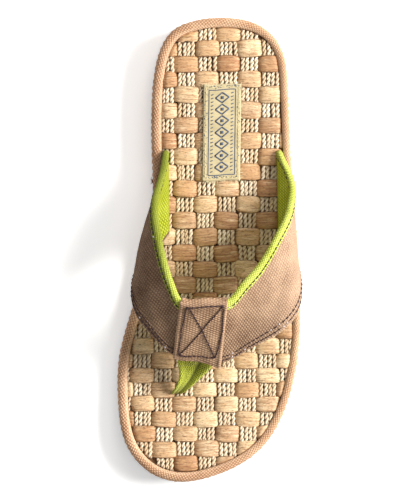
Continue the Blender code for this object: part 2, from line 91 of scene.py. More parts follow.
# Insole and binding
INSOLE_THICKNESS = 0.0063
BINDING_LIP = 0.006
BINDING_LIP_NARROWING = 0.0015
STRIP_FIRST_ALONG = 0.0993
STRIP_PITCH = 0.00944
CORD_BAND_ACROSS = -0.008
CORD_BAND_PITCH = 0.01293
STRIP_RAISE = 0.0011
LABEL_LENGTH = 0.059
LABEL_WIDTH = 0.0232
LABEL_ALONG = 0.247
LABEL_ACROSS = 0.067

# Strap, tab and post
STRAP_RISE = 0.057
STRAP_THICKNESS = 0.003
STRAP_STAND = 0.0028
STRAP_END_CLEAR = 0.0008
TRIM_WIDTH = 0.0058
TRIM_RAISE = 0.0006
HEM_WIDTH = 0.0062
ANCHOR_REAR_ALONG = 0.286
ANCHOR_FRONT_ALONG = 0.466
ANCHOR_FRONT_IN_MEDIAL = 0.0012
ANCHOR_FRONT_IN_LATERAL = 0.0026
TAB_THICKNESS = 0.0015
TAB_RETURN = 0.013
TAB_FRONT_OVERHANG = 0.0012
POST_TUCK = 0.009
POST_RUN_ON = 0.0022
POST_CLEAR = 0.0009
POST_ALONG = 0.808
POST_ACROSS = -0.172
GAP = 0.0003

# Weave as it shows: its rows, how it slips to the toes and to the big toe's side around one row, and how far
# strips and cords reach
FIRST_ROW, SPLIT_ROW, LAST_ROW = -3, 13, int(SOLE_LENGTH / STRIP_PITCH) + 1
DRIFT_ROW = 16
ROW_DRIFT, ROW_SPREAD = 0.0041, 6.5
BAND_DRIFT, BAND_SPREAD = 0.0016, 8.5
ROW_BEYOND, BAND_BEYOND = 0.004, 0.006
STRIP_RUN_ON, STRIP_OVERLAP, STRIP_DIVE = 0.0033, 0.0011, 0.0016
CORD_PITCH, CORD_TWIST, PLY_RADIUS = 0.00268, 0.0064, 0.00072
BOARD_INSET, BOARD_UNDER_WEAVE = 0.0022, 0.0024
# row and column of the reddish strips
RED_STRIPS = (
    (0, 1), (3, 2), (4, 3), (8, 3), (10, -1), (10, 1), (10, 3), (14, -1), (14, 1), (15, 0), (22, 3), (24, 1),
    (25, 0), (26, 1), (26, -1),
)

# How far the tab's left and right corners lie to the big toe's side of the strap's cross lines
TAB_LEAN_FRONT, TAB_LEAN_REAR = (0.0019, -0.0006), (0.0, 0.0006)
STITCH_SINK, STITCH_INSET = 0.00012, 0.0016
STRAY_THREAD_Y = 0.0415

# base, pale and dark colour, pitch of the threads in mm, turn in degrees, worn colour, stretch, contrast
CANVASES = {
    "binding_canvas": ((196, 150, 114), (228, 188, 152), (130, 84, 56), 1.1, 14, (232, 196, 162), 1.0, 0.75),
    "strap_canvas": ((137, 106, 82), (182, 150, 121), (72, 47, 32), 0.94, -12, (212, 180, 154), 1.4, 0.62),
    "strap_lining": ((190, 200, 44), (226, 234, 84), (88, 94, 4), 1.05, 20, None, 1.4, 0.8),
    "strap_trim": ((182, 190, 66), (216, 226, 116), (108, 116, 22), 0.92, 30, None, 1.0, 0.72),
    "tab_canvas": ((166, 130, 101), (206, 169, 136), (80, 54, 37), 0.66, 90, (186, 152, 124), 2.7, 0.62),
}
# base and pale colour
THREADS = {
    "tan_thread": ((206, 160, 122), (238, 204, 172)),
    "dark_thread": ((42, 22, 28), (86, 58, 62)),
    "frayed_thread": ((132, 98, 76), (196, 158, 130)),
    "fray_thread": ((236, 224, 180), (250, 244, 220)),
    "label_thread": ((206, 190, 136), (244, 234, 196)),
}
# length of a stitch, gap, radius of the thread, share of stitches that show the bare under thread
STITCHES = {
    "binding": (0.0031, 0.001, 0.00028, 0.0),
    "strap": (0.0024, 0.0006, 0.00038, 0.06),
    "lining": (0.0024, 0.0008, 0.0002, 0.0),
    "tab": (0.0021, 0.0004, 0.0004, 0.0),
    "label": (0.0018, 0.0005, 0.00022, 0.0),
}

# Camera: its height, and half of the height that it sees at the level of the insole
CAMERA_HEIGHT, HALF_VIEW, VIEW_HEIGHT = 1.35, 0.154, 0.016

# along, across
OUTLINE = (
    (0.000, 0.065), (0.007, 0.214), (0.028, 0.320), (0.060, 0.386), (0.104, 0.420), (0.165, 0.432),
    (0.235, 0.438), (0.310, 0.448), (0.405, 0.467), (0.510, 0.486), (0.600, 0.497), (0.670, 0.500),
    (0.741, 0.484), (0.810, 0.446), (0.872, 0.386), (0.928, 0.288), (0.968, 0.148), (0.991, -0.003),
    (1.000, -0.132), (0.992, -0.262), (0.966, -0.369), (0.925, -0.446), (0.871, -0.486), (0.808, -0.498),
    (0.752, -0.496), (0.697, -0.472), (0.640, -0.430), (0.578, -0.381), (0.506, -0.335), (0.428, -0.308),
    (0.352, -0.304), (0.266, -0.310), (0.184, -0.309), (0.119, -0.295), (0.067, -0.262), (0.030, -0.203),
    (0.009, -0.100),
)

# rear_across, rear_along, rear_height, front_across, front_along, front_height, bulge
STRAP_SECTIONS = (
    (-0.251, 0.336, 0.180, -0.296, 0.511, 0.155, 0.015),
    (-0.274, 0.377, 0.370, -0.370, 0.554, 0.350, 0.040),
    (-0.278, 0.416, 0.525, -0.400, 0.587, 0.500, 0.050),
    (-0.265, 0.453, 0.660, -0.398, 0.618, 0.590, 0.055),
    (-0.244, 0.495, 0.800, -0.364, 0.650, 0.645, 0.050),
    (-0.214, 0.540, 0.920, -0.304, 0.679, 0.640, 0.040),
    (-0.184, 0.575, 0.970, -0.246, 0.704, 0.590, 0.030),
    (-0.141, 0.606, 0.990, -0.176, 0.7225, 0.540, 0.015),
    (-0.023, 0.608, 1.000, -0.055, 0.727, 0.520, 0.010),
    (0.095, 0.605, 0.985, 0.061, 0.737, 0.503, 0.015),
    (0.167, 0.574, 0.940, 0.196, 0.713, 0.555, 0.030),
    (0.251, 0.535, 0.860, 0.310, 0.690, 0.622, 0.035),
    (0.323, 0.491, 0.760, 0.410, 0.664, 0.655, 0.035),
    (0.370, 0.457, 0.665, 0.468, 0.632, 0.622, 0.030),
    (0.414, 0.422, 0.545, 0.484, 0.591, 0.525, 0.018),
    (0.440, 0.384, 0.395, 0.470, 0.551, 0.360, 0.010),
    (0.436, 0.334, 0.200, 0.430, 0.508, 0.155, 0.006),
)
TAB_FIRST_SECTION = 7
TAB_LAST_SECTION = 9
END_ROWS = 3

# travel down the post from 0 to 1, then half width, swing to the little toe's side, depth of the fold's
# valley, height of its crown, and lean of its right side, all in millimetres
POST_SECTIONS = (
    (0.00, 11.4, 0.0, 0.0, 0.0, 0.0),
    (0.22, 11.2, -0.5, 1.4, 0.2, 0.0),
    (0.32, 10.9, -0.6, 3.2, 0.3, 0.0),
    (0.45, 9.2, 0.2, 4.4, 0.4, 0.0),
    (0.62, 5.6, 1.5, 3.8, 0.4, 0.0),
    (0.78, 3.7, 0.7, 2.0, 0.3, 0.0),
    (0.90, 3.2, -0.6, 1.0, 0.2, 0.0),
    (1.00, 3.2, -0.6, 0.6, 0.2, 0.0),
)

# Soft creases of the strap: run from the middle of the tab (positive on the little toe's side), cross from
# the rear edge, length and half width in millimetres, angle to the band in degrees, height in millimetres
CREASES = (
    (-62, 30, 26, 4.0, 62, -0.55),
    (-70, 22, 22, 3.0, 70, 0.40),
    (-48, 32, 24, 4.5, 48, -0.40),
    (-30, 34, 20, 4.0, 35, 0.35),
    (-22, 18, 26, 5.0, 80, -0.45),
    (24, 20, 28, 5.0, 100, -0.45),
    (34, 34, 22, 4.0, 140, 0.35),
    (52, 30, 26, 4.5, 128, -0.45),
    (66, 26, 24, 3.5, 112, 0.40),
    (78, 30, 20, 3.5, 108, -0.50),
)


def ramp(t):
    t = np.clip(t, 0.0, 1.0)
    return t * t * (3 - 2 * t)


def y_of(along):
    return SOLE_LENGTH * (0.5 - along)


def along_of(y):
    return 0.5 - np.asarray(y) / SOLE_LENGTH


def x_of(across):
    return SOLE_WIDTH * across


def ground(y):
    toe = np.maximum(0.0, (along_of(y) - TOE_SPRING_ALONG) / (1 - TOE_SPRING_ALONG))
    heel = np.maximum(0.0, (HEEL_SPRING_ALONG - along_of(y)) / HEEL_SPRING_ALONG)
    return TOE_SPRING * toe**1.6 + HEEL_SPRING * heel**2


def outsole_top(y):
    return ground(y) + OUTSOLE_THICKNESS


def wedge(y):
    run = (along_of(y) - WEDGE_FULL_ALONG) / (WEDGE_END_ALONG - WEDGE_FULL_ALONG)
    return WEDGE_HEIGHT * (1 - ramp(run))


def insole_under(y):
    return outsole_top(y) + GAP + wedge(y)


def insole_top(y):
    return insole_under(y) + INSOLE_THICKNESS


def spline(knots, rows):
    """A natural cubic spline through the rows, as a function of an array of places."""
    knots = np.asarray(knots, float)
    rows = np.asarray(rows, float)
    count = len(knots)
    step = np.diff(knots)
    system = np.eye(count)
    right = np.zeros_like(rows)
    for i in range(1, count - 1):
        system[i, i - 1 : i + 2] = step[i - 1], 2 * (step[i - 1] + step[i]), step[i]
        change = (rows[i + 1] - rows[i]) / step[i] - (rows[i] - rows[i - 1]) / step[i - 1]
        right[i] = 6 * change
    bend = np.linalg.solve(system, right)

    def at(t):
        t = np.atleast_1d(t)
        i = np.clip(np.searchsorted(knots, t) - 1, 0, count - 2)
        gap = (knots[i + 1] - knots[i])[:, None]
        b = (t[:, None] - knots[i][:, None]) / gap
        a = 1 - b
        curved = (a**3 - a) * bend[i] + (b**3 - b) * bend[i + 1]
        return a * rows[i] + b * rows[i + 1] + curved * gap**2 / 6

    return at


def spans(points):
    steps = np.linalg.norm(np.diff(points, axis=0), axis=1)
    return np.concatenate([[0.0], np.cumsum(steps)])


def closed(points):
    return np.vstack([points, points[:1]])


def unit(vectors):
    return vectors / np.linalg.norm(vectors, axis=-1, keepdims=True)


def bell(value, centre, width):
    """1 at the centre, fading to nothing beyond about twice the width."""
    return np.exp(-(((value - centre) / width) ** 2))


def closed_outline(samples):
    """The sole's outline in even steps, anticlockwise as seen from above."""
    points = np.array([(x_of(across), y_of(along)) for along, across in OUTLINE])
    turns = closed(np.concatenate([points, points, points]))
    run = spans(turns)
    once = run[len(points)]
    fine = spline(run, turns)(np.linspace(once, 2 * once, samples * 4 + 1))
    lengths = spans(fine)
    wanted = np.linspace(0, lengths[-1], samples + 1)[:-1]
    even = np.stack([np.interp(wanted, lengths, fine[:, k]) for k in range(2)], axis=1)
    return even[::-1]


def inward(points):
    ahead = unit(np.roll(points, -1, axis=0) - np.roll(points, 1, axis=0))
    return np.stack([-ahead[:, 1], ahead[:, 0]], axis=1)


def inset(points, distance):
    return points + inward(points) * np.reshape(distance, (-1, 1))


def lip_width(points):
    lateral = np.maximum(0.0, -inward(points)[:, 0])
    return BINDING_LIP - BINDING_LIP_NARROWING * lateral


def side_at(points, y, side):
    toe, heel = np.argmin(points[:, 1]), np.argmax(points[:, 1])
    turned = np.roll(points, -toe, axis=0)
    heel = (heel - toe) % len(points)
    chosen = turned[: heel + 1] if side > 0 else turned[heel:][::-1]
    order = np.argsort(chosen[:, 1])
    return float(np.interp(y, chosen[order, 1], chosen[order, 0]))


def sides_at(points, y):
    return side_at(points, y, -1), side_at(points, y, 1)


def depth_inside(xy, line, batch=4000):
    """Distance of each point inside a closed line, negative outside, and the nearest inward direction."""
    nearest = np.empty(len(xy), int)
    for start in range(0, len(xy), batch):
        away = ((xy[start : start + batch, None, :] - line[None, :, :]) ** 2).sum(-1)
        nearest[start : start + batch] = away.argmin(1)
    inwards = inward(line)[nearest]
    return ((xy - line[nearest]) * inwards).sum(1), inwards


LINE = closed_outline(720)
LIP_LINE = inset(LINE, lip_width(LINE))
GROOVES = [y_of(GROOVE_FIRST_ALONG) - k * GROOVE_PITCH for k in range(GROOVE_COUNT)]
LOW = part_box("edge_binding")[0]
SHIFT = np.array([LOW[0] - LINE[:, 0].min(), LOW[1] - LINE[:, 1].min(), 0.0])


def tinted(shape, *values):
    """The tint attribute of an array of points, from up to three values."""
    tint = np.zeros((*shape, 3))
    for k, value in enumerate(values):
        tint[..., k] = value
    return tint


def add_object(name, data):
    obj = bpy.data.objects.new(name, data)
    bpy.context.scene.collection.objects.link(obj)
    return obj


def mend(mesh, join=0.0):
    """Turns a mesh's faces outward, after joining the points that lie closer than a distance."""
    work = bmesh.new()
    work.from_mesh(mesh)
    if join:
        bmesh.ops.remove_doubles(work, verts=work.verts, dist=join)
    bmesh.ops.recalc_face_normals(work, faces=work.faces)
    work.to_mesh(mesh)
    work.free()


class Builder:
    """Collects grids of points into one mesh, with their places on the cloth and a tint."""

    def __init__(self):
        self.points, self.quads, self.caps = [], [], []
        self.metric, self.cap_metric, self.tints, self.slots = [], [], [], []
        self.count = 0

    def grid(
        self, points, u=None, v=None, round_u=False, round_v=False, slot=0, tint=(0, 0, 0), caps=False,
        cloth=None,
    ):
        """Quads over rows of points, with places u and v in mm and a material slot for each column."""
        points = np.asarray(points, float)
        n, m = points.shape[:2]
        start = self.count
        self.points.append(points.reshape(-1, 3))
        self.count += n * m
        self.tints.append(np.broadcast_to(np.asarray(tint, float), (n, m, 3)).reshape(-1, 3))
        rows, columns = n if round_u else n - 1, m if round_v else m - 1
        u = np.arange(rows + 1.0) if u is None else u
        v = np.arange(columns + 1.0) if v is None else v
        i, j = (k.ravel() for k in np.indices((rows, columns)))
        i2, j2 = (i + 1) % n, (j + 1) % m
        self.quads.append(np.stack([i * m + j, i2 * m + j, i2 * m + j2, i * m + j2], axis=1) + start)
        if cloth is None:
            corners = [(u[i], v[j]), (u[i + 1], v[j]), (u[i + 1], v[j + 1]), (u[i], v[j + 1])]
            corners = [np.stack(corner, axis=1) for corner in corners]
        else:
            corners = [cloth[i, j], cloth[i2, j], cloth[i2, j2], cloth[i, j2]]
        self.metric.append(np.stack(corners, axis=1))
        self.slots.append(np.broadcast_to(slot, (columns,))[j])
        for ring in (0, n - 1) if caps else ():
            self.caps.append([start + ring * m + k for k in range(m)])
            self.cap_metric.append([(u[0], v[0])] * m)

    def tube(self, path, radius, normal, sides=6, tint=(0, 0, 0), u0=0.0):
        """A closed tube along a short path. normal gives one side of its section."""
        ahead = unit(np.gradient(path, axis=0))
        side = unit(np.cross(ahead, np.broadcast_to(normal, path.shape)))
        up = np.cross(side, ahead)
        radius = np.broadcast_to(radius, (len(path),))[:, None, None]
        turn = np.linspace(0, 2 * math.pi, sides, endpoint=False)[None, :, None]
        ring = path[:, None, :] + radius * (np.cos(turn) * side[:, None, :] + np.sin(turn) * up[:, None, :])
        v = np.linspace(0, 2 * math.pi * float(radius.max()) * 1000, sides + 1)
        self.grid(ring, u0 + spans(path) * 1000, v, round_v=True, tint=tint, caps=True)

    def make(self, name, materials, replaces=(), sharp=180.0):
        mesh = bpy.data.meshes.new(name)
        points = np.concatenate(self.points) + SHIFT
        mesh.from_pydata(points.tolist(), [], np.concatenate(self.quads).tolist() + self.caps)
        metric = np.concatenate([np.reshape(m, (-1, 2)) for m in self.metric + self.cap_metric])
        metric = np.column_stack([metric, np.zeros(len(metric))])
        tints = np.concatenate(self.tints)
        for key, domain, values in (("metric", "CORNER", metric), ("tint", "POINT", tints)):
            data = mesh.attributes.new(key, "FLOAT_VECTOR", domain).data
            data.foreach_set("vector", values.ravel())
        for material in materials:
            mesh.materials.append(material)
        indices = np.concatenate([*self.slots, np.zeros(len(self.caps), int)])
        mesh.polygons.foreach_set("material_index", indices)
        mend(mesh)
        mesh.polygons.foreach_set("use_smooth", [True] * len(mesh.polygons))
        if sharp < 180:
            mesh.set_sharp_from_angle(angle=math.radians(sharp))
        mesh.update()
        obj = add_object(name, mesh)
        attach(obj, "root")
        if replaces:
            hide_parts(*replaces)
        return obj


def rgb(red, green, blue):
    """A colour as it shows on a screen, from 0 to 255, as the shader needs it."""
    shares = [c / 255 for c in (red, green, blue)]
    linear = [c / 12.92 if c <= 0.04045 else ((c + 0.055) / 1.055) ** 2.4 for c in shares]
    return (*linear, 1.0)


class Finish:
    """A material with a few short ways of adding nodes. Colours are as on a screen, 0 to 255."""

    def __init__(self, name, roughness, sheen=0.0, coat=0.0, specular=0.5):
        self.material = bpy.data.materials.new(name)
        self.material.use_nodes = True
        self.tree = self.material.node_tree
        self.shader = self.tree.nodes["Principled BSDF"]
        for socket, value in (
            ("Roughness", roughness),
            ("Sheen Weight", sheen),
            ("Sheen Roughness", 0.5),
            ("Coat Weight", coat),
            ("Coat Roughness", 0.35),
            ("Specular IOR Level", specular),
        ):
            self.set(self.shader, socket, value)

    def set(self, node, socket, value):
        target = node.inputs[socket]
        if isinstance(value, bpy.types.NodeSocket):
            self.tree.links.new(value, target)
        else:
            target.default_value = rgb(*value) if target.type == "RGBA" else value

    def node(self, kind, inputs=(), **settings):
        """Adds a node. Its inputs are pairs of a socket and its value or link."""
        node = self.tree.nodes.new("ShaderNode" + kind)
        for key, value in settings.items():
            setattr(node, key, value)
        for socket, value in inputs:
            self.set(node, socket, value)
        return node

    def math(self, operation, first, second=0.0):
        return self.node("Math", ((0, first), (1, second)), operation=operation).outputs[0]

    def times(self, first, second):
        return self.math("MULTIPLY", first, second)

    def place(self, name="metric"):
        return self.node("Attribute", attribute_name=name).outputs["Vector"]

    def parts(self, vector):
        return self.node("SeparateXYZ", ((0, vector),)).outputs

    def scaled(self, vector, x=1.0, y=1.0, turn=0.0):
        inputs = (("Vector", vector), ("Scale", (x, y, 1.0)), ("Rotation", (0, 0, math.radians(turn))))
        return self.node("Mapping", inputs).outputs[0]

    def noise(self, vector, scale=1.0, detail=3.0, roughness=0.55, distortion=0.0):
        names = ("Vector", "Scale", "Detail", "Roughness", "Distortion")
        inputs = zip(names, (vector, scale, detail, roughness, distortion))
        return self.node("TexNoise", inputs).outputs["Fac"]

    def span(self, value, low, high, to_low=0.0, to_high=1.0):
        inputs = enumerate((value, low, high, to_low, to_high))
        return self.node("MapRange", inputs, clamp=True).outputs[0]

    def mix(self, share, first, second):
        inputs = ((0, share), (6, first), (7, second))
        return self.node("Mix", inputs, data_type="RGBA", blend_type="MIX").outputs[2]

    def layers(self, colour, *rows):
        """Lays colours over another: value, where it starts and ends to show, share, colour."""
        for value, low, high, share, over in rows:
            colour = self.mix(self.span(value, low, high, 0, share), colour, over)
        return colour

    def weave(self, vector, pitch, turn=0.0, stretch=1.0, lines=0.3):
        """Height of a plain weave, from 0 in its holes to 1 on its threads, with some of it as lines."""
        turned = self.scaled(vector, turn=turn) if turn else vector
        turned = self.scaled(turned, math.pi / pitch, math.pi / pitch / stretch)
        x, y, _ = self.parts(turned)
        dots = self.times(self.math("SINE", x), self.math("SINE", y))
        rows = self.math("COSINE", self.times(y, 2.0))
        return self.span(self.math("ADD", dots, self.times(rows, -lines)), -1, 1)

    def bump(self, height, distance, strength=1.0, normal=None):
        inputs = [("Height", height), ("Distance", distance), ("Strength", strength)]
        if normal is not None:
            inputs.append(("Normal", normal))
        return self.node("Bump", inputs).outputs[0]

    def done(self, colour, normal=None, roughness=None):
        for socket, value in (("Base Color", colour), ("Normal", normal), ("Roughness", roughness)):
            if value is not None:
                self.set(self.shader, socket, value)
        return self.material


def leaf_finish():
    """Flat leaf strips: long fibres, honey to reddish, with painted shade where a strip dives."""
    f = Finish("leaf_strip", 0.5, coat=0.08)
    place = f.place()
    tone, dive_shade, red = f.parts(f.place("tint"))
    long = f.noise(f.scaled(place, 0.1, 1.1), 1.0, 4.0, 0.62, 0.5)
    fine = f.noise(f.scaled(place, 0.5, 3.2), 1.0, 3.0, 0.6)
    patch = f.noise(f.scaled(place, 0.12, 0.22), 1.0, 2.0)
    fleck = f.noise(f.scaled(place, 0.42, 1.9), 1.0, 2.0, 0.5)
    colour = f.mix(tone, (250, 221, 176), (208, 160, 112))
    colour = f.layers(colour, (patch, 0.42, 0.7, 0.8, (222, 178, 126)))
    colour = f.mix(f.times(red, f.span(long, 0.3, 0.55)), colour, (150, 90, 50))
    colour = f.layers(
        colour,
        (long, 0.54, 0.68, 0.8, (152, 100, 60)),
        (fine, 0.54, 0.68, 0.85, (124, 74, 42)),
        (fleck, 0.6, 0.68, 0.75, (112, 68, 38)),
        (long, 0.44, 0.26, 0.6, (255, 236, 198)),
    )
    colour = f.mix(f.times(dive_shade, 0.6), colour, (106, 62, 32))
    normal = f.bump(fine, 0.0005, 0.7, f.bump(long, 0.0010, 0.9))
    return f.done(colour, normal, f.span(fine, 0.3, 0.7, 0.42, 0.62))


def cord_finish():
    """Twisted plies of dry grass, pale straw with darker fibres, and painted shade where a ply dips."""
    f = Finish("twisted_cord", 0.75)
    place = f.place()
    tone, dive_shade, _ = f.parts(f.place("tint"))
    fibre = f.noise(f.scaled(place, 0.5, 3.0), 1.0, 3.0, 0.6, 0.4)
    blot = f.noise(place, 0.35, 2.0)
    colour = f.layers(
        f.mix(tone, (248, 232, 204), (218, 190, 152)),
        (blot, 0.45, 0.7, 0.6, (190, 160, 122)),
        (fibre, 0.5, 0.7, 0.6, (158, 124, 88)),
    )
    colour = f.mix(f.times(dive_shade, 0.9), colour, (122, 84, 52))
    return f.done(colour, f.bump(fibre, 0.0003, 0.8))


def board_finish():
    f = Finish("insole_board", 0.9)
    grain = f.noise(f.scaled(f.place(), 0.6, 0.6), 1.0, 4.0)
    return f.done(f.mix(grain, (120, 86, 56), (156, 120, 84)), f.bump(grain, 0.0003))


def canvas_finish(name):
    """A plain woven canvas: pale threads, dark holes, slubs and worn edges, with painted shade and a painted
    highlight laid on from its tint.
    """
    base, pale, dark, pitch, turn, worn, stretch, contrast = CANVASES[name]
    f = Finish(name, 0.92, specular=0.2)
    place = f.place()
    painted_shade, wear_and_highlight, shade = f.parts(f.place("tint"))
    wobble = f.noise(place, 0.9, 2.0)
    moved = f.node("VectorMath", enumerate(((0.35, 0.35, 0.0), wobble, place)), operation="MULTIPLY_ADD")
    weave = f.weave(moved.outputs[0], pitch, turn, stretch)
    slub = f.noise(f.scaled(place, 0.15, 1.3), 1.0, 3.0)
    fleck = f.noise(place, 1.05, 3.0, 0.7)
    cloud = f.noise(place, 0.07, 3.0)
    colour = f.layers(
        base,
        (cloud, 0.35, 0.65, 1, pale),
        (slub, 0.5, 0.75, 0.45, pale),
        (fleck, 0.54, 0.7, 0.5, dark),
        (fleck, 0.44, 0.3, 0.5, pale),
        (weave, 0.62, 0.1, contrast, dark),
        (weave, 0.5, 0.95, contrast, pale),
    )
    # the worn colour: worn edges, and a painted highlight on the strap's little toe's arm
    if worn:
        rough = f.noise(place, 1.1, 3.0)
        colour = f.mix(f.times(wear_and_highlight, f.span(rough, 0.35, 0.6)), colour, worn)
    # painted shade from the tint's third value: stitch lines, the tab's rear turn and the binding's bottom
    colour = f.mix(f.times(shade, 0.75), colour, dark)
    # painted shade from the tint's first value, over whole sides of the strap and the binding
    colour = f.mix(painted_shade, colour, dark)
    return f.done(colour, f.bump(fleck, 0.0005, 0.6, f.bump(weave, 0.0005, 0.8)))


def webbing_finish(name, base, pale, dark, pitch):
    """Webbing: fine ribs along the band, each broken into links like a chain."""
    f = Finish(name, 0.85, sheen=0.2, specular=0.25)
    place = f.place()
    shade = f.parts(f.place("tint"))[2]
    height = f.weave(place, pitch, 0.0, 0.4, 0.4)
    colour = f.layers(
        base,
        (f.noise(place, 0.12, 3.0), 0.3, 0.7, 1, pale),
        (height, 0.6, 0.15, 0.95, dark),
        (height, 0.5, 0.9, 0.9, pale),
        (f.noise(place, 1.6, 2.0), 0.55, 0.75, 0.4, pale),
    )
    colour = f.mix(f.times(shade, 0.85), colour, dark)
    return f.done(colour, f.bump(height, 0.0006, 0.8))


def thread_finish(name):
    """Twisted thread. A stitch with a tint shows the bare under thread."""
    f = Finish(name, 0.7, specular=0.3)
    x, y, _ = f.parts(f.scaled(f.place(), 9.0, 4.0))
    bare = f.parts(f.place("tint"))[0]
    ply = f.span(f.math("SINE", f.math("ADD", x, y)), -1, 1)
    colour = f.mix(f.times(ply, 0.5), *THREADS[name])
    return f.done(f.mix(bare, colour, (226, 214, 218)), f.bump(ply, 0.0001, 0.7))


def rubber_finish():
    f = Finish("outsole_rubber", 0.72, specular=0.35)
    place = f.place()
    grain = f.noise(place, 3.0, 3.0)
    cloud = f.noise(place, 0.05, 4.0)
    dust = f.noise(place, 0.4, 5.0)
    colour = f.layers(
        (42, 44, 47),
        (cloud, 0.35, 0.65, 1, (58, 60, 63)),
        (dust, 0.58, 0.8, 0.25, (122, 120, 116)),
    )
    return f.done(colour, f.bump(grain, 0.00012, 0.6), f.span(cloud, 0.3, 0.7, 0.62, 0.8))


def foam_finish():
    f = Finish("midsole_foam", 0.8, specular=0.3)
    place = f.place()
    pores = f.node("TexVoronoi", (("Vector", place), ("Scale", 2.4)))
    pore = f.span(pores.outputs["Distance"], 0.0, 0.45)
    colour = f.layers(
        (234, 178, 126),
        (f.noise(place, 0.06, 3.0), 0.35, 0.65, 1, (242, 190, 140)),
        (pore, 0.4, 0.0, 0.3, (214, 156, 106)),
    )
    return f.done(colour, f.bump(pore, 0.00015, 0.5))


def label_finish():
    f = Finish("label_cloth", 0.85, sheen=0.1, specular=0.25)
    place = f.place()
    weave = f.weave(place, 0.55)
    colour = f.layers(
        (202, 186, 148),
        (f.noise(place, 0.16, 4.0), 0.3, 0.7, 1, (180, 164, 126)),
        (f.noise(f.scaled(place, 0.2, 4.0), 1.0, 2.0), 0.5, 0.8, 0.4, (246, 238, 206)),
        (weave, 0.4, 0.0, 0.35, (188, 168, 112)),
    )
    return f.done(colour, f.bump(weave, 0.0002, 0.5))


def ink_finish():
    f = Finish("label_ink", 0.8)
    return f.done(f.layers((58, 72, 96), (f.noise(f.place(), 1.8, 3.0), 0.4, 0.75, 0.8, (120, 126, 130))))


def floor_finish():
    f = Finish("floor", 0.9, specular=0.1)
    cloud = f.noise(f.node("NewGeometry").outputs["Position"], 3.0, 2.0)
    f.set(f.shader, "Emission Color", (255, 255, 255))
    f.set(f.shader, "Emission Strength", 0.42)
    return f.done(f.mix(cloud, (250, 250, 249), (253, 253, 253)))


def crossing(row, column):
    """Where a strip and a band of cords cross."""
    x = x_of(CORD_BAND_ACROSS) + column * CORD_BAND_PITCH
    x -= BAND_DRIFT * math.exp(-(((row - DRIFT_ROW) / BAND_SPREAD) ** 4))
    y = y_of(STRIP_FIRST_ALONG) - row * STRIP_PITCH - ROW_DRIFT * bell(row, DRIFT_ROW, ROW_SPREAD)
    return x, y


def crossings(first, last, strips):
    """The crossings inside the binding where a strip lies on top, or else where the cords do."""
    low, high = LIP_LINE[:, 1].min() - ROW_BEYOND, LIP_LINE[:, 1].max() + ROW_BEYOND
    for row in range(first, last):
        y = crossing(row, 0)[1]
        if not low < y < high:
            continue
        left, right = sides_at(LIP_LINE, y)
        for column in range(-5, 6):
            x = crossing(row, column)[0]
            if (row + column) % 2 == strips and left - BAND_BEYOND <= x <= right + BAND_BEYOND:
                yield row, column, x, y


def make_strips():
    """The flat strips' raised crossings, in a chequer with the cords."""
    build = Builder()
    for place in crossings(FIRST_ROW, LAST_ROW, True):
        strip(build, *place)
    build.make("weave_strips", [leaf_finish()], ("woven_insole",))


def strip(build, row, column, x, y):
    """One crossing: a bowed strip with folds along it, narrower where it dives at its ends."""
    half_x = (CORD_BAND_PITCH + STRIP_RUN_ON) / 2 * RANDOM.uniform(0.95, 1.05)
    pitch = crossing(row - 0.5, 0)[1] - crossing(row + 0.5, 0)[1]
    half_y = (pitch + STRIP_OVERLAP) / 2 * RANDOM.uniform(0.94, 1.03)
    high = STRIP_RAISE + RANDOM.uniform(-0.0001, 0.0004)
    turn = math.radians(RANDOM.normal(0, 2.0))
    x += RANDOM.normal(0, 0.00025)
    y += RANDOM.normal(0, 0.0002)
    folds = [
        (RANDOM.uniform(-0.85, 0.85), RANDOM.uniform(0.05, 0.14), RANDOM.normal(0, 1)) for _ in range(9)
    ]
    corner = RANDOM.uniform(0.0, 0.34, 4)
    slope, belly = RANDOM.normal(0, 0.00025), RANDOM.uniform(-0.02, 0.11)
    slant = RANDOM.normal(0, 0.09)
    s = np.sin(np.linspace(-1, 1, 17) * math.pi / 2)
    t = np.concatenate([np.linspace(-1, 1, 15), (0.5, 0.0, -0.5)])
    under = np.arange(len(t)) >= 15
    S, T = np.meshgrid(s, t, indexing="ij")
    crown = (1 - np.abs(S) ** 3.4).clip(0) ** 0.55
    z = -STRIP_DIVE + (high + STRIP_DIVE + 0.0003) * crown - 0.0005 * S**2
    z = z - 0.0005 * np.abs(T) ** 7 - 0.0003 * T**2 + slope * T - under * 0.0008
    for centre, wide, deep in folds:
        z += 0.00026 * deep * bell(T, centre + 0.06 * S * deep, wide) * crown * ~under
    ends = np.abs(S) ** 6
    side = np.where(S > 0, np.where(T > 0, corner[0], corner[1]), np.where(T > 0, corner[2], corner[3]))
    py = T * half_y * (1 - side * ends) * (1 + belly * (0.6 - S**2))
    px = S * half_x + slant * py * ends
    c, d = math.cos(turn), math.sin(turn)
    points = np.stack([x + px * c - py * d, y + px * d + py * c, z], axis=-1)
    settle(points)
    # darker towards the heel and paler towards the toes, the paling a painted light against the strap's
    # shadow; darker again at the very toe end
    usual = 0.5 + 0.22 * ramp((y - 0.03) / 0.04) - 0.25 * ramp((-y - 0.03) / 0.03)
    tone = np.clip(RANDOM.normal(usual + 0.2 * ramp((-y - 0.1) / 0.02), 0.38), 0, 1)
    red = 0.5 if (row, column) in RED_STRIPS else max(0.0, RANDOM.normal(0.08, 0.18))
    # painted shade under the strap's arch, darker and redder
    shaded = bell(x, 0.008, 0.022) * bell(y, -0.018, 0.022)
    # painted shade where the strip dives at its ends and along its sides
    dive_shade = np.clip(np.abs(S) ** 12 + 0.6 * np.abs(T) ** 14, 0, 1)
    tint = tinted(S.shape, min(1.0, tone + 0.1 * shaded), dive_shade, min(1.0, red + 0.2 * shaded))
    offset = RANDOM.uniform(0, 400, 2)
    v = np.append(t, t[0]) * half_y * 1000 + offset[1]
    build.grid(points, s * half_x * 1000 + offset[0], v, round_v=True, tint=tint, caps=True)


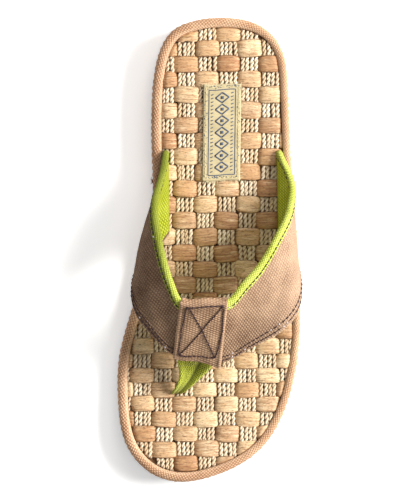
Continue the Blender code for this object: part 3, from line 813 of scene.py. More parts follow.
def settle(points):
    """Adds the insole's height to points given above it, and tucks them under the binding's lip."""
    flat = points.reshape(-1, 3)
    depth, inwards = depth_inside(flat[:, :2], LIP_LINE[::2])
    beyond = np.maximum(0.0, -depth - 0.0022)
    flat[:, :2] += inwards * beyond[:, None]
    flat[:, 2] -= 0.0024 * (1 - ramp((depth + 0.0006) / 0.0022))
    flat[:, 2] += insole_top(flat[:, 1])


def make_cords():
    """Bands of four twisted cords, where they pass over the strips."""
    material = cord_finish()
    for name, first, last in (
        ("weave_cords_heel", FIRST_ROW, SPLIT_ROW),
        ("weave_cords_forefoot", SPLIT_ROW, LAST_ROW),
    ):
        build = Builder()
        for _, column, x, y in crossings(first, last, False):
            cord_cell(build, column, x, y)
        build.make(name, [material], ("woven_insole",))


def cord_cell(build, column, x, y):
    """Four cords of two plies each, over the width of one strip."""
    t = np.linspace(-1, 1, 16)
    ahead = t * (STRIP_PITCH / 2 + 0.0010)
    for k in (-1.5, -0.5, 0.5, 1.5):
        tone = np.clip(RANDOM.normal(0.4, 0.28), 0, 1)
        centre = x + k * CORD_PITCH + RANDOM.normal(0, 0.00014)
        phase = column * 2.1 + k * 1.9 + RANDOM.normal(0, 0.7)
        lean = RANDOM.normal(0, 0.035)
        for ply in (0, 1):
            angle = -2 * math.pi * (y + ahead) / CORD_TWIST + math.pi * ply + phase
            thick = PLY_RADIUS * RANDOM.uniform(0.9, 1.1)
            aside = centre + 0.00068 * np.cos(angle) + lean * ahead
            z = -0.00055 + 0.00048 * np.sin(angle) + 0.0002 * (1 - t**2) - 0.0008 * np.abs(t) ** 6
            points = np.stack([aside, y + ahead, z], axis=-1)
            settle(points)
            # painted shade on the plies' undersides and where the cords dive at the ends
            deep = np.clip(0.27 - np.sin(angle) * 0.7 + 0.5 * np.abs(t) ** 8, 0, 1)
            tint = tinted((len(t), 1), tone, deep[:, None])
            build.tube(points, thick, (0, 0, 1), tint=tint, u0=RANDOM.uniform(0, 300))


def flat_cap(build, ring, height):
    """Fills a ring with strips across the shoe, so that the fill follows the height along it."""
    line = ring[:, :2]
    low, high = line[:, 1].min(), line[:, 1].max()
    turn = np.linspace(0.012 * math.pi, 0.988 * math.pi, 110)
    ys = (low + high) / 2 - (high - low) / 2 * np.cos(turn)
    share = np.linspace(0, 1, 7)
    rows = []
    for y in ys:
        left, right = sides_at(line, y)
        rows.append([(left + (right - left) * s, y, float(height(y))) for s in share])
    build.grid(rows, (ys - low) * 1000, share * 100)


def slab(build, line, levels):
    """A closed layer: a side over levels of (inset, height function), and a fill above and below."""
    rings = []
    for distance, height in levels:
        moved = inset(line, distance)
        rings.append(np.column_stack([moved, height(moved[:, 1])]))
    rings = np.stack(rings, axis=1)
    build.grid(rings, spans(closed(line)) * 1000, spans(rings[0]) * 1000, round_u=True)
    for end in (0, -1):
        flat_cap(build, rings[:, end], levels[end][1])


def make_board():
    build = Builder()
    levels = (
        (BOARD_INSET, lambda y: insole_under(y) + 0.0001),
        (BOARD_INSET, lambda y: insole_top(y) - BOARD_UNDER_WEAVE),
    )
    slab(build, LINE[::2], levels)
    build.make("insole_board", [board_finish()], ("woven_insole",), sharp=50)


def make_binding():
    """The canvas rolled over the insole's edge, with a little slack between its stitches."""
    build = Builder()
    lip = lip_width(LINE)
    # share of the lip's width, then mm above the insole
    profile = (
        (0.24, -6.1), (0.05, -6.15), (0.0, -5.7), (-0.012, -4.7), (-0.02, -3.5), (-0.02, -2.4),
        (-0.012, -1.4), (0.008, -0.5), (0.045, 0.3), (0.11, 0.95), (0.21, 1.45), (0.34, 1.75), (0.5, 1.85),
        (0.66, 1.7), (0.8, 1.35), (0.91, 0.85), (0.98, 0.2), (1.0, -0.5), (0.97, -1.3), (0.5, -1.5),
        (0.28, -1.5),
    )
    run = spans(closed(LINE))
    turn = 2 * math.pi * run[:-1] / run[-1]
    inwards = inward(LINE)
    waves = ((0.10, 61, 0.4), (0.08, 97, 1.9), (0.07, 143, 0.2), (0.05, 211, 3.0))
    slack = sum(size * np.sin(count * turn + phase) for size, count, phase in waves)
    tuck = 0.5 + 0.5 * np.cos(turn * 170)
    columns = []
    for share, rise in profile:
        roll = max(0.0, math.sin(math.pi * min(1, max(0, (rise + 1) / 2.85))))
        out = 0.00005 * slack * bell(rise, -2.6, 2.0) - 0.00003 * tuck * bell(rise, -4.6, 0.7)
        moved = LINE + inwards * (lip * share - out)[:, None]
        z = insole_top(LINE[:, 1]) + rise / 1000 + 0.00016 * slack * roll * (share < 1)
        columns.append(np.column_stack([moved, z]))
    rings = np.stack(columns, axis=1)
    # painted shade: darker on the big toe's side of the heel half and at the toe end
    painted_shade = 0.24 * ramp((-LINE[:, 0] - 0.01) / 0.02) * ramp((LINE[:, 1] - 0.01) / 0.03)
    painted_shade += 0.12 * ramp((-LINE[:, 1] - 0.12) / 0.02)
    wear_and_highlight = [0.78 < share < 0.99 and rise > 0 for share, rise in profile]
    # painted shade on the bottom of the roll, under its bulge
    tint = tinted(rings.shape[:2], painted_shade[:, None], wear_and_highlight, [0.35 * (rise < -5) for _, rise in profile])
    build.grid(rings, run * 1000, spans(closed(rings[0])) * 1000, round_u=True, round_v=True, tint=tint)
    build.make("binding_roll", [canvas_finish("binding_canvas")], ("edge_binding",))


def stitch_row(build, path, normal, kind):
    """Stitches laid along a path, bowed out of the cloth."""
    length, gap, radius, bare = STITCHES[kind]
    run = spans(path)
    count = max(1, int(run[-1] / (length + gap)))
    step = run[-1] / count
    t = np.linspace(0, 1, 6)
    arch = np.sin(math.pi * t)
    for k in range(count):
        jitter = RANDOM.normal(0, 0.00008, 3)
        pale = 0.8 if RANDOM.uniform() < bare else 0.0
        s = (k + 0.5) * step + (t - 0.5) * (step - gap) * (1 - 0.6 * (pale > 0))
        centre = np.stack([np.interp(s, run, path[:, c]) for c in range(3)], axis=1)
        out = unit(np.stack([np.interp(s, run, normal[:, c]) for c in range(3)], axis=1))
        lift = -STITCH_SINK + (radius * 0.9 + STITCH_SINK) * arch**0.55
        centre = centre + out * lift[:, None] + jitter * arch[:, None]
        build.tube(centre, radius * (0.65 + 0.35 * arch**0.4), out, tint=(pale, 0, 0), u0=k * 3.0)


def make_binding_stitches():
    build = Builder()
    path = closed(np.column_stack([inset(LINE, -0.00008), insole_top(LINE[:, 1]) - 0.0046]))
    out = closed(np.column_stack([-inward(LINE), np.zeros(len(LINE))]))
    stitch_row(build, path, out, "binding")
    build.make("binding_stitches", [thread_finish("tan_thread")])


def strap_rows():
    """The strap's cross lines: those of the table, and more at each end that go down into the insole."""
    line = inset(LINE, lip_width(LINE) + STRAP_THICKNESS / 2 + TRIM_RAISE + 2 * GAP)
    table = np.array(STRAP_SECTIONS)
    drops = np.zeros((END_ROWS, 3))
    drops[:, 2] = STRAP_END_CLEAR - INSOLE_THICKNESS, 0.0, STRAP_STAND
    edges = []
    for first, end_along, further_in in (
        (0, ANCHOR_REAR_ALONG, (0.0, 0.0)),
        (3, ANCHOR_FRONT_ALONG, (ANCHOR_FRONT_IN_MEDIAL, ANCHOR_FRONT_IN_LATERAL)),
    ):
        across, along, height = table[:, first : first + 3].T
        y = y_of(along)
        rows = np.column_stack([x_of(across), y, insole_top(y) + STRAP_RISE * height])
        y = y_of(end_along)
        left, right = sides_at(line, y)
        medial = drops + (left + further_in[0], y, float(insole_top(y)))
        lateral = drops + (right - further_in[1], y, float(insole_top(y)))
        edges.append(np.vstack([medial, rows, lateral[::-1]]))
    return *edges, np.pad(STRAP_RISE * table[:, 6:], ((END_ROWS, END_ROWS), (0, 0)))


REARS, FRONTS, BULGES = strap_rows()
KNOTS = spans((REARS + FRONTS) / 2)
EDGES = spline(KNOTS, np.hstack([REARS, FRONTS, BULGES]))
RUN_END = KNOTS[-1]
TAB_RUNS = KNOTS[TAB_FIRST_SECTION + END_ROWS], KNOTS[TAB_LAST_SECTION + END_ROWS]
TAB_SPAN = TAB_RUNS[1] - TAB_RUNS[0]
TAB_OVER = STRAP_THICKNESS / 2 + TRIM_RAISE + GAP
RUN_MIDDLE = KNOTS[(TAB_FIRST_SECTION + TAB_LAST_SECTION) // 2 + END_ROWS]


def strap_edges(run):
    """The rear and front end of the strap's cross line at a place along it, and how far it bulges."""
    row = EDGES(run)
    return row[:, :3], row[:, 3:6], row[:, 6]


def strap_width(run):
    rear, front, _ = strap_edges(np.ravel(run))
    return np.linalg.norm(front - rear, axis=1).reshape(np.shape(run))


def strap_flat(run, share):
    rear, front, _ = strap_edges(run)
    return rear * (1 - share[:, None]) + front * share[:, None]


def strap_at(run, cross, lift):
    """Points on the strap, and its outward directions there.

    run goes along the band, cross from its rear edge, lift out of its middle.
    """
    run, cross, lift = np.broadcast_arrays(run, cross, lift)
    shape = (*run.shape, 3)
    run, cross, lift = (a.ravel().astype(float) for a in (run, cross, lift))
    rear, front, bulge = strap_edges(run)
    share = cross / strap_width(run)
    step = 0.0006
    ahead = strap_flat(np.minimum(run + step, RUN_END), share) - strap_flat(np.maximum(run - step, 0), share)
    normal = unit(np.cross(front - rear, ahead))
    bow = bulge * 4 * share * (1 - share)
    points = strap_flat(run, share) + normal * (bow + lift)[:, None]
    return points.reshape(shape), normal.reshape(shape)


def unrolled(rings):
    """Places on the strap's cloth in mm: the way over the arch from its middle, and the way along."""
    steps = np.linalg.norm(np.diff(rings[:, :, ::2], axis=0), axis=2)
    run = np.concatenate([np.zeros((1, rings.shape[1])), np.cumsum(steps, axis=0)])
    return np.stack([run - run[len(run) // 2], rings[:, :, 1]], axis=-1) * 1000


def creases(run, cross):
    """Height of the soft creases at a place on the strap."""
    total = np.zeros(np.broadcast(run, cross).shape)
    for centre, across, length, half, angle, height in CREASES:
        a = math.radians(angle)
        dr, dc = (run - RUN_MIDDLE) * 1000 - centre, cross * 1000 - across
        along = dr * math.cos(a) + dc * math.sin(a)
        aside = -dr * math.sin(a) + dc * math.cos(a)
        total += height / 1000 * np.exp(-((along / length * 2) ** 2) - (aside / half) ** 2)
    return total


def skin(build, runs, columns, tints, slot=0):
    """The closed wall of the strap or tab, from its lines along the band."""
    rings = np.stack(columns, axis=1)
    tint = np.stack(tints, axis=1)
    build.grid(rings, runs * 1000, round_v=True, slot=slot, tint=tint, caps=True, cloth=unrolled(rings))


def make_strap():
    """The band: canvas outside with a hem, lining inside, and the green trim round its rear edge."""
    half = STRAP_THICKNESS * 1000 / 2
    trim, hem = TRIM_WIDTH * 1000, HEM_WIDTH * 1000
    canvas, lining, green = 0, 1, 2
    # painted shade: how much darker each region is painted on the big toe's arm, which faces away from the
    # light
    painted_shade = {canvas: 0.5, lining: 0.48, green: 0.75}
    # region, the edge that the places across the band are counted from, then (place, height) in mm
    section = (
        (green, "rear", (
            (-0.2, 0.0), (-0.1, 0.75), (0.2, 1.4), (0.8, 1.9), (1.5, 2.15), (2.3, 2.2), (3.2, 2.1),
            (3.8, 1.85), (4.1, 1.68), (4.4, 1.82), (5.0, 2.05), (5.5, 2.0), (trim, 1.7),
        )),
        (canvas, "rear", ((trim + 0.15, half), (trim + 1.0, half + 0.05))),
        (canvas, "share", [(0.22 + 0.06 * k, half) for k in range(10)]),
        (canvas, "front", (
            (hem + 0.8, half + 0.02), (hem, half + 0.15), (hem - 0.4, half + 0.4), (5.5, half + 0.12),
            (5.1, half + 0.38), (4.0, half + 0.5), (3.0, half + 0.42), (2.6, half + 0.15), (2.2, half + 0.4),
            (1.2, half + 0.45), (0.4, half + 0.2), (0.0, half * 0.45), (0.0, -half * 0.3),
            (0.3, -half * 0.85), (0.9, -half - 0.1), (2.0, -half - 0.12),
        )),
        (lining, "front", ((2.3, -half),)),
        (lining, "share", [(0.84 - 0.12 * k, -half) for k in range(6)]),
        (lining, "rear", ((5.6, -half), (5.1, -half - 0.02))),
        (green, "rear", (
            (4.85, -half + 0.3), (4.5, -half - 0.15), (3.0, -half - 0.3), (1.6, -half - 0.2),
            (0.6, -half + 0.15), (0.0, -half + 0.7),
        )),
    )
    runs = np.linspace(0, RUN_END, 420)
    wide = strap_width(runs)
    medial = ramp((RUN_MIDDLE - runs - 0.012) / 0.04)
    columns, tints, regions = [], [], []
    for region, edge, places in section:
        for across, lift in places:
            cross = {"rear": across / 1000, "front": wide - across / 1000, "share": wide * across}[edge]
            level = lift / 1000 + creases(runs, cross)
            if region == canvas and edge == "share":
                level += 0.00012 * np.sin(runs * 410 + across * 9) * np.sin(runs * 173 + across * 21)
            if region == green:
                level += 0.00007 * np.sin(runs * 2 * math.pi / 0.0031) * (lift > 1.6)
            if edge == "front" and 1 < across < 6:
                level += 0.00008 * np.sin(runs * 2 * math.pi / 0.0034 + across)
            columns.append(strap_at(runs, cross, level)[0])
            hem_edge = edge == "front" and across < 0.5
            # worn hem edge, and a painted highlight on the canvas along the little toe's arm
            wear_and_highlight = 1.0 if hem_edge else 0.4 * ramp((runs - RUN_MIDDLE - 0.02) / 0.05) * (region == canvas)
            # painted shade along the stitch lines
            stitched = across == 4.1 if region == green else edge == "front" and across in (2.6, 5.5)
            tints.append(tinted(runs.shape, painted_shade[region] * medial, wear_and_highlight, 0.9 * (stitched and lift > 0)))
            regions.append(region)
    build = Builder()
    skin(build, runs, columns, tints, slot=regions)
    finishes = [canvas_finish(name) for name in ("strap_canvas", "strap_lining", "strap_trim")]
    build.make("strap_band", finishes, ("upper",))


def make_strap_stitches(dark):
    """Dark thread along the trim, inside and out, and two rows along the hem, up to the tab."""
    build = Builder()
    half = STRAP_THICKNESS / 2
    tab = TAB_RUNS[0] - 0.0006, TAB_RUNS[1] - 0.0004
    for low, high in ((0.004, tab[0]), (tab[1], RUN_END - 0.004)):
        runs = np.linspace(low, high, 240)
        wide = strap_width(runs)
        # place across, height, side, kind
        for cross, lift, side, kind in (
            (0.0041, half + 0.00026, 1, "strap"),
            (wide - 0.0055, half + 0.0002, 1, "strap"),
            (wide - 0.0026, half + 0.00022, 1, "strap"),
            (0.00485, -half - 0.00002, -1, "lining"),
        ):
            path, normal = strap_at(runs, cross, lift + creases(runs, cross))
            stitch_row(build, path, side * normal, kind)
    build.make("strap_stitches", [dark])


def tab_share(run):
    return (np.asarray(run) - TAB_RUNS[0]) / TAB_SPAN


def tab_top(run):
    """Height of the tab's face over the strap's middle surface."""
    share = tab_share(run)
    pillow = 0.0003 * ramp((np.minimum(share, 1 - share) * TAB_SPAN - 0.003) / 0.004)
    return TAB_OVER + TAB_THICKNESS - 0.0002 + pillow


def make_tab():
    """The tab: folded side edges, a face, a turn round the rear edge and a return underneath."""
    build = Builder()
    thick, under = TAB_THICKNESS, STRAP_THICKNESS / 2 + 2 * GAP
    t = np.sin(np.linspace(-1, 1, 61) * math.pi / 2) * 0.5 + 0.5
    runs = TAB_RUNS[0] + TAB_SPAN * t
    edge = np.minimum(t, 1 - t) * TAB_SPAN
    thin = np.sqrt(np.clip(1 - (1 - np.clip(edge / 0.0008, 0, 1)) ** 2, 0.0, 1.0))
    fold = 0.00035 * bell(edge, 0.0013, 0.0009) - 0.0002 * bell(edge, 0.0028, 0.0005)
    wide = strap_width(runs)
    # the front edge hangs a little lower at the little toe's side
    front = wide + TAB_FRONT_OVERHANG + 0.0016 * ramp((tab_share(runs) - 0.72) / 0.25) - 0.0004

    def above(share):
        return TAB_OVER + thick * share * thin

    def below(share):
        return -under - thick * share * thin

    face = []
    for share in np.linspace(0.97, 0.02, 26):
        cross = front * share
        sag = -0.0002 * bell(front - cross, 0.0026, 0.0006) - 0.0002 * bell(cross, 0.004, 0.0007)
        wave = 0.0001 * np.sin(runs * 900 + share * 8) * np.sin(share * 23)
        lift = TAB_OVER + (tab_top(runs) - TAB_OVER + fold + sag + wave) * thin
        # painted shade on the face near its rear edge
        face.append((cross, lift, bell(share, 0.0, 0.03), 0.4 * max(0.0, 1 - share / 0.16)))
    columns, tints = [], []
    # place across from the strap's rear edge, height, how worn the cloth is, and how much painted shade it
    # takes
    for cross, lift, wear_and_highlight, shade in (
        (front - 0.0002, TAB_OVER, 0, 0),
        (front, above(0.45), 1, 0),
        (front - 0.0003, above(0.85), 1, 0),
        *face,
        (-GAP, above(0.9), 1, 0.4),
        (-GAP - thick * 0.42, above(0.45), 1, 0.4),
        (-GAP - thick * 0.6, TAB_OVER * 0.4, 0.6, 0),
        (-GAP - thick * 0.6, -under * 0.4, 0.3, 0),
        (-GAP - thick * 0.4, below(0.5), 0, 0),
        (0.0006, below(0.95), 0, 0),
        (TAB_RETURN - 0.0004, below(0.95), 0, 0),
        (TAB_RETURN, below(0.5), 0, 0),
        (TAB_RETURN, -under, 0, 0),
        (-GAP, -under, 0, 0),
        (-GAP, TAB_OVER, 0, 0),
        (wide * 0.5, TAB_OVER, 0, 0),
    ):
        share = np.clip(cross / front, 0, 1)
        lean = share * (TAB_LEAN_FRONT[0] * (1 - t) + TAB_LEAN_FRONT[1] * t)
        lean += (1 - share) * (TAB_LEAN_REAR[0] * (1 - t) + TAB_LEAN_REAR[1] * t)
        columns.append(strap_at(runs - lean, cross, lift)[0])
        tints.append(tinted(runs.shape, 0, np.maximum(wear_and_highlight, bell(edge, 0.0, 0.0011)), shade))
    skin(build, runs, columns, tints)
    build.make("strap_tab", [canvas_finish("tab_canvas")], ("centre_tab",))


def make_tab_stitches(dark):
    """The stitched box and its crossing lines."""
    build = Builder()
    # share of the tab's width, share of the strap's width
    rear_left, rear_left_inner, rear_right = (0.155, -0.005), (0.19, -0.012), (0.87, -0.01)
    front_right, front_left = (0.87, 0.865), (0.055, 0.91)
    # from corner, to corner, then how far the line bows to the little toe's side and to the toes
    for start, end, aside, ahead in (
        (rear_left, rear_right, 0.0, 0.008),
        (rear_right, front_right, 0.055, 0.0),
        (front_right, front_left, 0.0, 0.006),
        (front_left, rear_left, -0.02, 0.0),
        (rear_left_inner, front_right, -0.01, 0.01),
        (rear_right, front_left, 0.0, 0.012),
    ):
        t = np.linspace(0, 1, 60)
        bow = np.sin(math.pi * t)
        across = start[0] + (end[0] - start[0]) * t + aside * bow + 0.004 * np.sin(t * 17 + start[1] * 9)
        runs = TAB_RUNS[0] + TAB_SPAN * across
        cross = strap_width(runs) * (start[1] + (end[1] - start[1]) * t + ahead * bow)
        path, normal = strap_at(runs, cross, tab_top(runs) + 0.0002)
        stitch_row(build, path, normal, "tab")
    build.make("tab_stitches", [dark])


def make_loose_threads():
    """Frayed ends along the tab's rear edge, and a stray end on the binding."""
    build = Builder()
    # share across the tab and its spread, lean across and reach to the heel in mm, count
    for share, spread, lean, reach, count in (
        (0.04, 0.02, -0.4, 2.6, 5),
        (0.94, 0.02, 0.4, 3.0, 5),
        (0.5, 0.25, 0.3, 0.9, 9),
    ):
        t = np.linspace(0, 1, 5)
        curl = np.stack([np.sin(t * 3) * 0.3, t * 0, np.sin(t * 4) * 0.2], axis=1)
        for _ in range(count):
            run = TAB_RUNS[0] + TAB_SPAN * (share + RANDOM.normal(0, spread))
            base, _ = strap_at(run, -0.001, 0.0016)
            way = [lean + RANDOM.normal(0, 0.35), reach * RANDOM.uniform(0.5, 1.0), RANDOM.normal(0, 0.4)]
            build.tube(base + (t[:, None] * way + curl) / 1000, 0.00014 * (1.1 - 0.5 * t), (0, 0, 1), 4)
    y = STRAY_THREAD_Y
    foot = np.array([side_at(LINE, y, -1) + 0.0004, y, float(insole_top(y)) - 0.0006])
    t = np.linspace(0, 1, 6)
    for _ in range(6):
        way = [-1.7 + RANDOM.normal(0, 0.3), RANDOM.normal(0.2, 1.6), RANDOM.normal(-0.2, 0.4)]
        path = foot + (t[:, None] * way + np.sin(t * 3)[:, None] * RANDOM.normal(0, 0.4, 3)) / 1000
        build.tube(path, 0.0003 * (1.1 - 0.5 * t), (0, 0, 1), 5)
    build.make("loose_threads", [thread_finish("frayed_thread")])


def make_post():
    """The toe post: webbing that comes from under the tab and folds into a deep crease."""
    build = Builder()
    wide = float(strap_width(RUN_MIDDLE))
    lift = -(STRAP_THICKNESS / 2 + POST_CLEAR + 0.001)
    medial, lateral = strap_at(RUN_MIDDLE + np.array([-0.001, 0.001]), wide, 0.0)[0]
    side = unit(lateral - medial)
    start, edge = strap_at(RUN_MIDDLE, wide + np.array([-POST_TUCK, POST_RUN_ON]), lift)[0]
    foot = np.array([x_of(POST_ACROSS), y_of(POST_ALONG), float(insole_top(y_of(POST_ALONG)))])
    mouth = foot + (0, 0, STRIP_RAISE + 4 * GAP)
    deep = foot - (0, 0, INSOLE_THICKNESS * 0.7)
    t = np.linspace(0, 1, 100)
    path = spline((0, 0.22, 0.56, 0.9, 1.0), (start, edge, edge + (mouth - edge) * 0.5, mouth, deep))(t)
    sections = np.array(POST_SECTIONS)
    half, swing, valley, crown, turn = spline(sections[:, 0], sections[:, 1:] / 1000)(t).T[:, :, None]
    path[:, :1] += swing
    run = spans(path) * 1000
    ahead = unit(np.gradient(path, axis=0))
    close = ramp((t - 0.2) / 0.66)[:, None]
    across = side * (1 - close) + np.array([1.0, 0.0, 0.0]) * close
    across = unit(across - ahead * (across * ahead).sum(1)[:, None])
    out = np.cross(across, ahead)
    out *= np.sign(out[:, 2:3])
    u = np.linspace(-1, 1, 37)
    # the crease: a long side that slopes down to the valley, and a steep short side beyond it
    centre = 0.34
    aside = np.where(u < centre, (centre - u) / (1 + centre), (u - centre) / (1 - centre))
    shape = -valley * (1.05 - np.sqrt(aside**2 + 0.02))
    shape += valley * (0.35 - 0.3 * ramp((-u - 0.8) / 0.2) - 0.16 * ramp((u - 0.8) / 0.2))
    shape += crown * np.cos(u * 7.0) + turn * u
    sheet = path[:, None] + across[:, None] * (half * u)[:, :, None] + out[:, None] * shape[:, :, None]
    normal = unit(np.cross(np.gradient(sheet, axis=0), np.gradient(sheet, axis=1)))
    normal *= np.sign((normal * out[:, None, :]).sum(2).mean())
    wall = normal * 0.0009 * np.sqrt(1 - (np.abs(u) ** 12) * 0.9)[None, :, None]
    ring = np.concatenate([sheet + wall, (sheet - wall)[:, ::-1]], axis=1)
    shade = bell(u, centre, 0.2) * (ramp((t - 0.15) / 0.2) * ramp((1.05 - t) / 0.35))[:, None]
    tint = tinted(ring.shape[:2], 0, 0, np.hstack([shade, shade * 0]))
    build.grid(ring, run, spans(closed(ring[40])) * 1000, round_v=True, tint=tint, caps=True)
    green = webbing_finish("post_webbing", (198, 208, 36), (240, 248, 92), (90, 96, 0), 1.75)
    build.make("post_webbing_fold", [green], ("toe_post",), sharp=60)


def label_point(a, b, lift=0.0):
    """A point of the label, a across and b along, each from -1 to 1. It sags between the crossings."""
    x = x_of(LABEL_ACROSS) + a * LABEL_WIDTH / 2 + 0.0004 * b + 0.0004
    y = y_of(LABEL_ALONG) + b * LABEL_LENGTH / 2 + 0.0004 * np.sin(a * 3.0)
    column = (x - x_of(CORD_BAND_ACROSS)) / CORD_BAND_PITCH
    row = (y_of(STRIP_FIRST_ALONG) - y) / STRIP_PITCH
    sag = 0.00022 * np.cos(math.pi * column) * np.cos(math.pi * row)
    curl = 0.0007 * ramp((np.abs(b) - 0.93) / 0.07) * (0.3 + 0.7 * a**2)
    z = insole_top(y) + STRIP_RAISE + GAP + 0.0002 - sag + lift + curl
    return np.stack([x, y, z], axis=-1)


def make_label():
    """A plain cloth label with a frayed edge, sewn down all round."""
    build = Builder()
    a, b = np.linspace(-1, 1, 25), np.linspace(-1, 1, 61)
    A, B = np.meshgrid(a, b, indexing="ij")
    top, low = label_point(A, B, 0.0006), label_point(A, B, 0.0001)
    for face in (top, low):
        build.grid(face, a * LABEL_WIDTH * 500, b * LABEL_LENGTH * 500)
    both = np.stack([low, top], axis=2)
    build.grid(np.concatenate([both[:, 0], both[-1, 1:], both[-2::-1, -1], both[0, -2:0:-1]]), round_u=True)
    label = build.make("label_cloth", [label_finish()], ("label",), sharp=50)
    mend(label.data, join=0.00001)
    fray = Builder()
    t = np.linspace(0, 1, 4)
    for _ in range(150):
        side = RANDOM.integers(4)
        k = RANDOM.uniform(-1, 1)
        a0, b0 = ((-1, k), (1, k), (k, -1), (k, 1))[side]
        out = np.array([(-1, 0), (1, 0), (0, -1), (0, 1)][side], float)
        drift = RANDOM.normal(0, 0.5, 2)
        base = label_point(np.array(a0 * 0.99), np.array(b0 * 0.995), 0.0003)
        reach = RANDOM.uniform(0.0006, 0.0016)
        way = np.array([*(out + 0.4 * drift), RANDOM.normal(-0.1, 0.2)])
        fray.tube(base + t[:, None] * way * reach, 0.00013 * (1 - 0.5 * t), (0, 0, 1), 4)
    fray.make("label_fray", [thread_finish("fray_thread")])
    stitch = Builder()
    m, n = 1 - STITCH_INSET / (LABEL_WIDTH / 2), 1 - STITCH_INSET / (LABEL_LENGTH / 2)
    corners = ((-m, -n), (m, -n), (m, n), (-m, n), (-m, -n))
    t = np.linspace(0, 1, 60)
    for (a0, b0), (a1, b1) in zip(corners[:-1], corners[1:]):
        path = label_point(a0 + (a1 - a0) * t, b0 + (b1 - b0) * t, 0.00062)
        stitch_row(stitch, path, np.tile((0.0, 0.0, 1.0), (60, 1)), "label")
    stitch.make("label_stitches", [thread_finish("label_thread")])
    return label


def make_print():
    """The print: a border, a row of diamonds and rows of dashes."""
    build = Builder()
    size = np.array([LABEL_WIDTH, LABEL_LENGTH]) / 2

    def stroke(a0, b0, a1, b1, wide):
        start, end = np.array([a0, b0]) * size, np.array([a1, b1]) * size
        way = end - start
        length = np.linalg.norm(way)
        aside = np.array([-way[1], way[0]]) / length * wide / 2
        t = np.linspace(0, 1, max(3, int(length / 0.0012)))
        line = start + way * t[:, None]
        rails = [label_point(*((line + aside * sign) / size).T, 0.00068) for sign in (-1, 1)]
        top = np.stack(rails, axis=1)
        ring = np.concatenate([top, top[:, ::-1] - (0, 0, 0.0001)], axis=1)
        build.grid(ring, np.arange(len(t)) * 1.2, np.arange(5.0) * 0.5, round_v=True, caps=True)

    def outline(centre, corners, wide):
        for (a0, b0), (a1, b1) in zip(corners, corners[1:] + corners[:1]):
            stroke(a0, centre + b0, a1, centre + b1, wide)

    outline(0.0, ((-0.70, -0.885), (0.70, -0.885), (0.70, 0.885), (-0.70, 0.885)), 0.0006)
    for k in range(7):
        centre = -0.72 + k * 0.24
        outline(centre, ((0, 0.105), (0.36, 0), (0, -0.105), (-0.36, 0)), 0.0009)
        stroke(-0.09, centre, 0.09, centre, 0.0018)
    for k in range(150):
        along = RANDOM.uniform(-0.93, 0.93)
        a0, b0 = ((-0.84, along), (along * 0.9, -0.94), (0.86, along), (along * 0.9, 0.945))[k % 4]
        a0 += RANDOM.normal(0, 0.05)
        b0 += RANDOM.normal(0, 0.012)
        long, turn = RANDOM.uniform(0.03, 0.09), RANDOM.uniform(0, math.pi)
        wide = RANDOM.uniform(0.0002, 0.0006)
        stroke(a0, b0, a0 + long * math.cos(turn), b0 + 0.4 * long * math.sin(turn), wide)
    for k in range(22):
        centre = -0.80 + k * 1.6 / 21
        for sign in (-1, 1):
            stroke(sign * 0.46, centre, sign * 0.6, centre + 0.02 * sign, 0.0006)
    build.make("label_print", [ink_finish()])


def make_midsole():
    """The foam wedge, with a slightly hollow side."""
    build = Builder()
    ys = np.linspace(y_of(WEDGE_FULL_ALONG), y_of(WEDGE_END_ALONG), 400)
    end = ys[np.nonzero(wedge(ys) - GAP > WEDGE_THINNEST)[0].max()]
    line = closed_outline(900)
    inside = line[:, 1] > end
    start = np.nonzero(inside & ~np.roll(inside, 1))[0][0]
    kept, inwards = (np.roll(way, -start, axis=0)[: inside.sum()] for way in (line, inward(line)))

    def under(y):
        return outsole_top(y) + GAP

    def over(y):
        return insole_under(y) - GAP

    low, high = under(kept[:, 1]), over(kept[:, 1])
    # share of the height, then how far the side lies inside the outline in mm
    profile = ((0, 0.25), (0.06, 0.05), (0.25, 0.2), (0.5, 0.32), (0.75, 0.2), (0.94, 0.05), (1, 0.25))
    columns = []
    for share, push in profile:
        moved = kept + inwards * (push / 1000 * ramp((high - low) / 0.004))[:, None]
        columns.append(np.column_stack([moved, low + (high - low) * share]))
    rings = np.stack(columns, axis=1)
    run = spans(kept) * 1000
    build.grid(rings, run, spans(rings[len(kept) // 2]) * 1000)
    t = np.linspace(0, 1, 24)[:, None, None]
    build.grid(rings[-1] * (1 - t) + rings[0] * t, t[:, 0, 0] * 90, spans(rings[0]) * 1000)
    for edge, height in ((rings[:, 0, :2], under), (rings[:, -1, :2], over)):
        n = len(edge) // 2
        t = np.linspace(0, 1, 7)[:, None]
        fill = edge[:n, None] * (1 - t) + edge[::-1][:n, None] * t
        build.grid(np.dstack([fill, height(fill[..., 1])]), run[:n], t[:, 0] * 90)
    build.make("midsole_wedge", [foam_finish()], ("midsole",), sharp=50)


def make_outsole():
    """The rubber sheet and the tread's blocks and ribs under it."""
    build = Builder()
    levels = (
        (0.0, lambda y: ground(y) + GROOVE_DEPTH),
        (0.0, lambda y: outsole_top(y) - 0.0005),
        (0.0005, outsole_top),
    )
    slab(build, LINE[::2], levels)
    uppers = [LINE[:, 1].max()] + [y - GROOVE_WIDTH / 2 for y in GROOVES]
    lowers = [y + GROOVE_WIDTH / 2 for y in GROOVES] + [LINE[:, 1].min()]
    for upper, lower in zip(uppers, lowers):
        tread_block(build, upper, lower)
    build.make("outsole_tread", [rubber_finish()], ("outsole",), sharp=40)


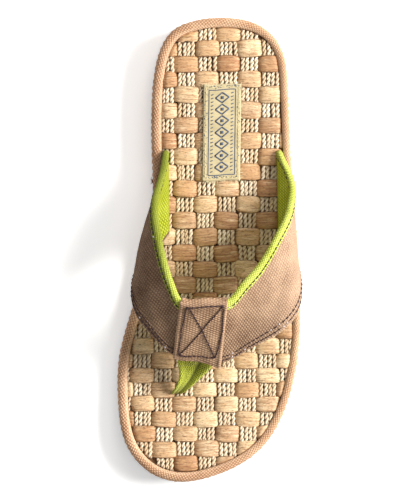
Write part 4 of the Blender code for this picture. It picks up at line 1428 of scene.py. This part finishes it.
def tread_block(build, upper, lower):
    """One block between two wide grooves, with narrow grooves cut in its face."""
    bevel, edge = 0.0004, 0.0006
    pitch = GROOVE_PITCH / (RIBS_PER_BLOCK + 1)
    narrow = [y - k * pitch for y in GROOVES for k in range(1, RIBS_PER_BLOCK + 1)] + [GROOVES[0] + pitch]
    half, deep = RIB_GROOVE_WIDTH / 2, RIB_GROOVE_DEPTH
    marks = [(upper, GROOVE_DEPTH), (upper - bevel, 0.0)]
    for y in sorted((n for n in narrow if lower + 0.002 < n < upper - 0.002), reverse=True):
        marks += [(y + half, 0.0), (y + half - 0.0001, deep), (y - half + 0.0001, deep), (y - half, 0.0)]
    marks += [(lower + bevel, 0.0), (lower, GROOVE_DEPTH)]
    fine = marks[:1]
    for (ya, ma), (yb, mb) in zip(marks[:-1], marks[1:]):
        count = max(1, int(abs(yb - ya) / 0.0022))
        fine += [(ya + (yb - ya) * k / count, ma + (mb - ma) * k / count) for k in range(1, count + 1)]
    rings = []
    for y, mark in fine:
        y = min(max(y, LINE[:, 1].min() + 0.0004), LINE[:, 1].max() - 0.0004)
        left, right = sides_at(LINE, y)
        face = float(ground(y)) + mark
        top = float(ground(y)) + GROOVE_DEPTH + 0.0004
        xs = left, left, left + edge * 0.7, right - edge * 0.7, right, right
        zs = top, min(top, face + edge), face, face, min(top, face + edge), top
        rings.append([(x, y, z) for x, z in zip(xs, zs)])
    rings = np.array(rings)
    v = np.array([0, 2, 3, 93, 94, 96, 180.0])
    build.grid(rings, rings[:, 0, 1] * 1000, v, round_v=True, caps=True)


def make_stage():
    mesh = bpy.data.meshes.new("floor")
    size, height = 6.0, -0.0002
    corners = ((-size, -size, height), (size, -size, height), (size, size, height), (-size, size, height))
    mesh.from_pydata(corners, [], [(0, 1, 2, 3)])
    mesh.materials.append(floor_finish())
    add_object("floor", mesh)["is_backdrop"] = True


def make_light():
    """Three soft square lights, each aimed at a height over the origin, and a dim white world."""
    # name, place, height of its aim, size, power, colour
    for name, place, aim, size, power, colour in (
        ("key", (1.25, 0.22, 0.95), 0.01, 0.75, 51.0, (1.0, 0.985, 0.96)),
        ("top", (0.45, 0.3, 1.8), 0.0, 1.2, 5.0, (1.0, 1.0, 1.0)),
        ("heel_fill", (0.35, 1.15, 1.1), 0.02, 0.9, 6.0, (1.0, 0.98, 0.95)),
    ):
        data = bpy.data.lights.new(name, "AREA")
        data.shape = "SQUARE"
        data.size = size
        data.energy = power
        data.color = colour
        light = add_object(name, data)
        light.location = place
        way = unit(np.array([0, 0, aim]) - place)
        light.rotation_euler = (math.acos(-way[2]), 0.0, math.atan2(way[1], way[0]) - math.pi / 2)
    world = bpy.data.worlds.new("world")
    bpy.context.scene.world = world
    world.use_nodes = True
    world.node_tree.nodes["Background"].inputs["Color"].default_value = (1, 1, 1, 1)
    world.node_tree.nodes["Background"].inputs["Strength"].default_value = 0.2


def make_camera():
    """Straight above the shoe, as the photograph looks at it."""
    data = bpy.data.cameras.new("camera")
    data.sensor_fit = "VERTICAL"
    data.sensor_height = 24.0
    data.lens = data.sensor_height / 2 / (HALF_VIEW / (CAMERA_HEIGHT - VIEW_HEIGHT))
    camera = add_object("camera", data)
    camera.location = (0.0, 0.0, CAMERA_HEIGHT)
    bpy.context.scene.camera = camera
    bpy.context.scene.view_settings.view_transform = "Standard"


def main():
    make_strips()
    make_cords()
    make_board()
    make_binding()
    make_binding_stitches()
    make_strap()
    dark = thread_finish("dark_thread")
    make_strap_stitches(dark)
    make_tab()
    make_tab_stitches(dark)
    make_loose_threads()
    make_post()
    label = make_label()
    make_print()
    make_midsole()
    make_outsole()
    make_stage()
    make_light()
    make_camera()


main()
boxes = {"cad": CAD_BOX, "visual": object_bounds()}
{key: [[float(c) for c in p] for p in box] for key, box in boxes.items()}
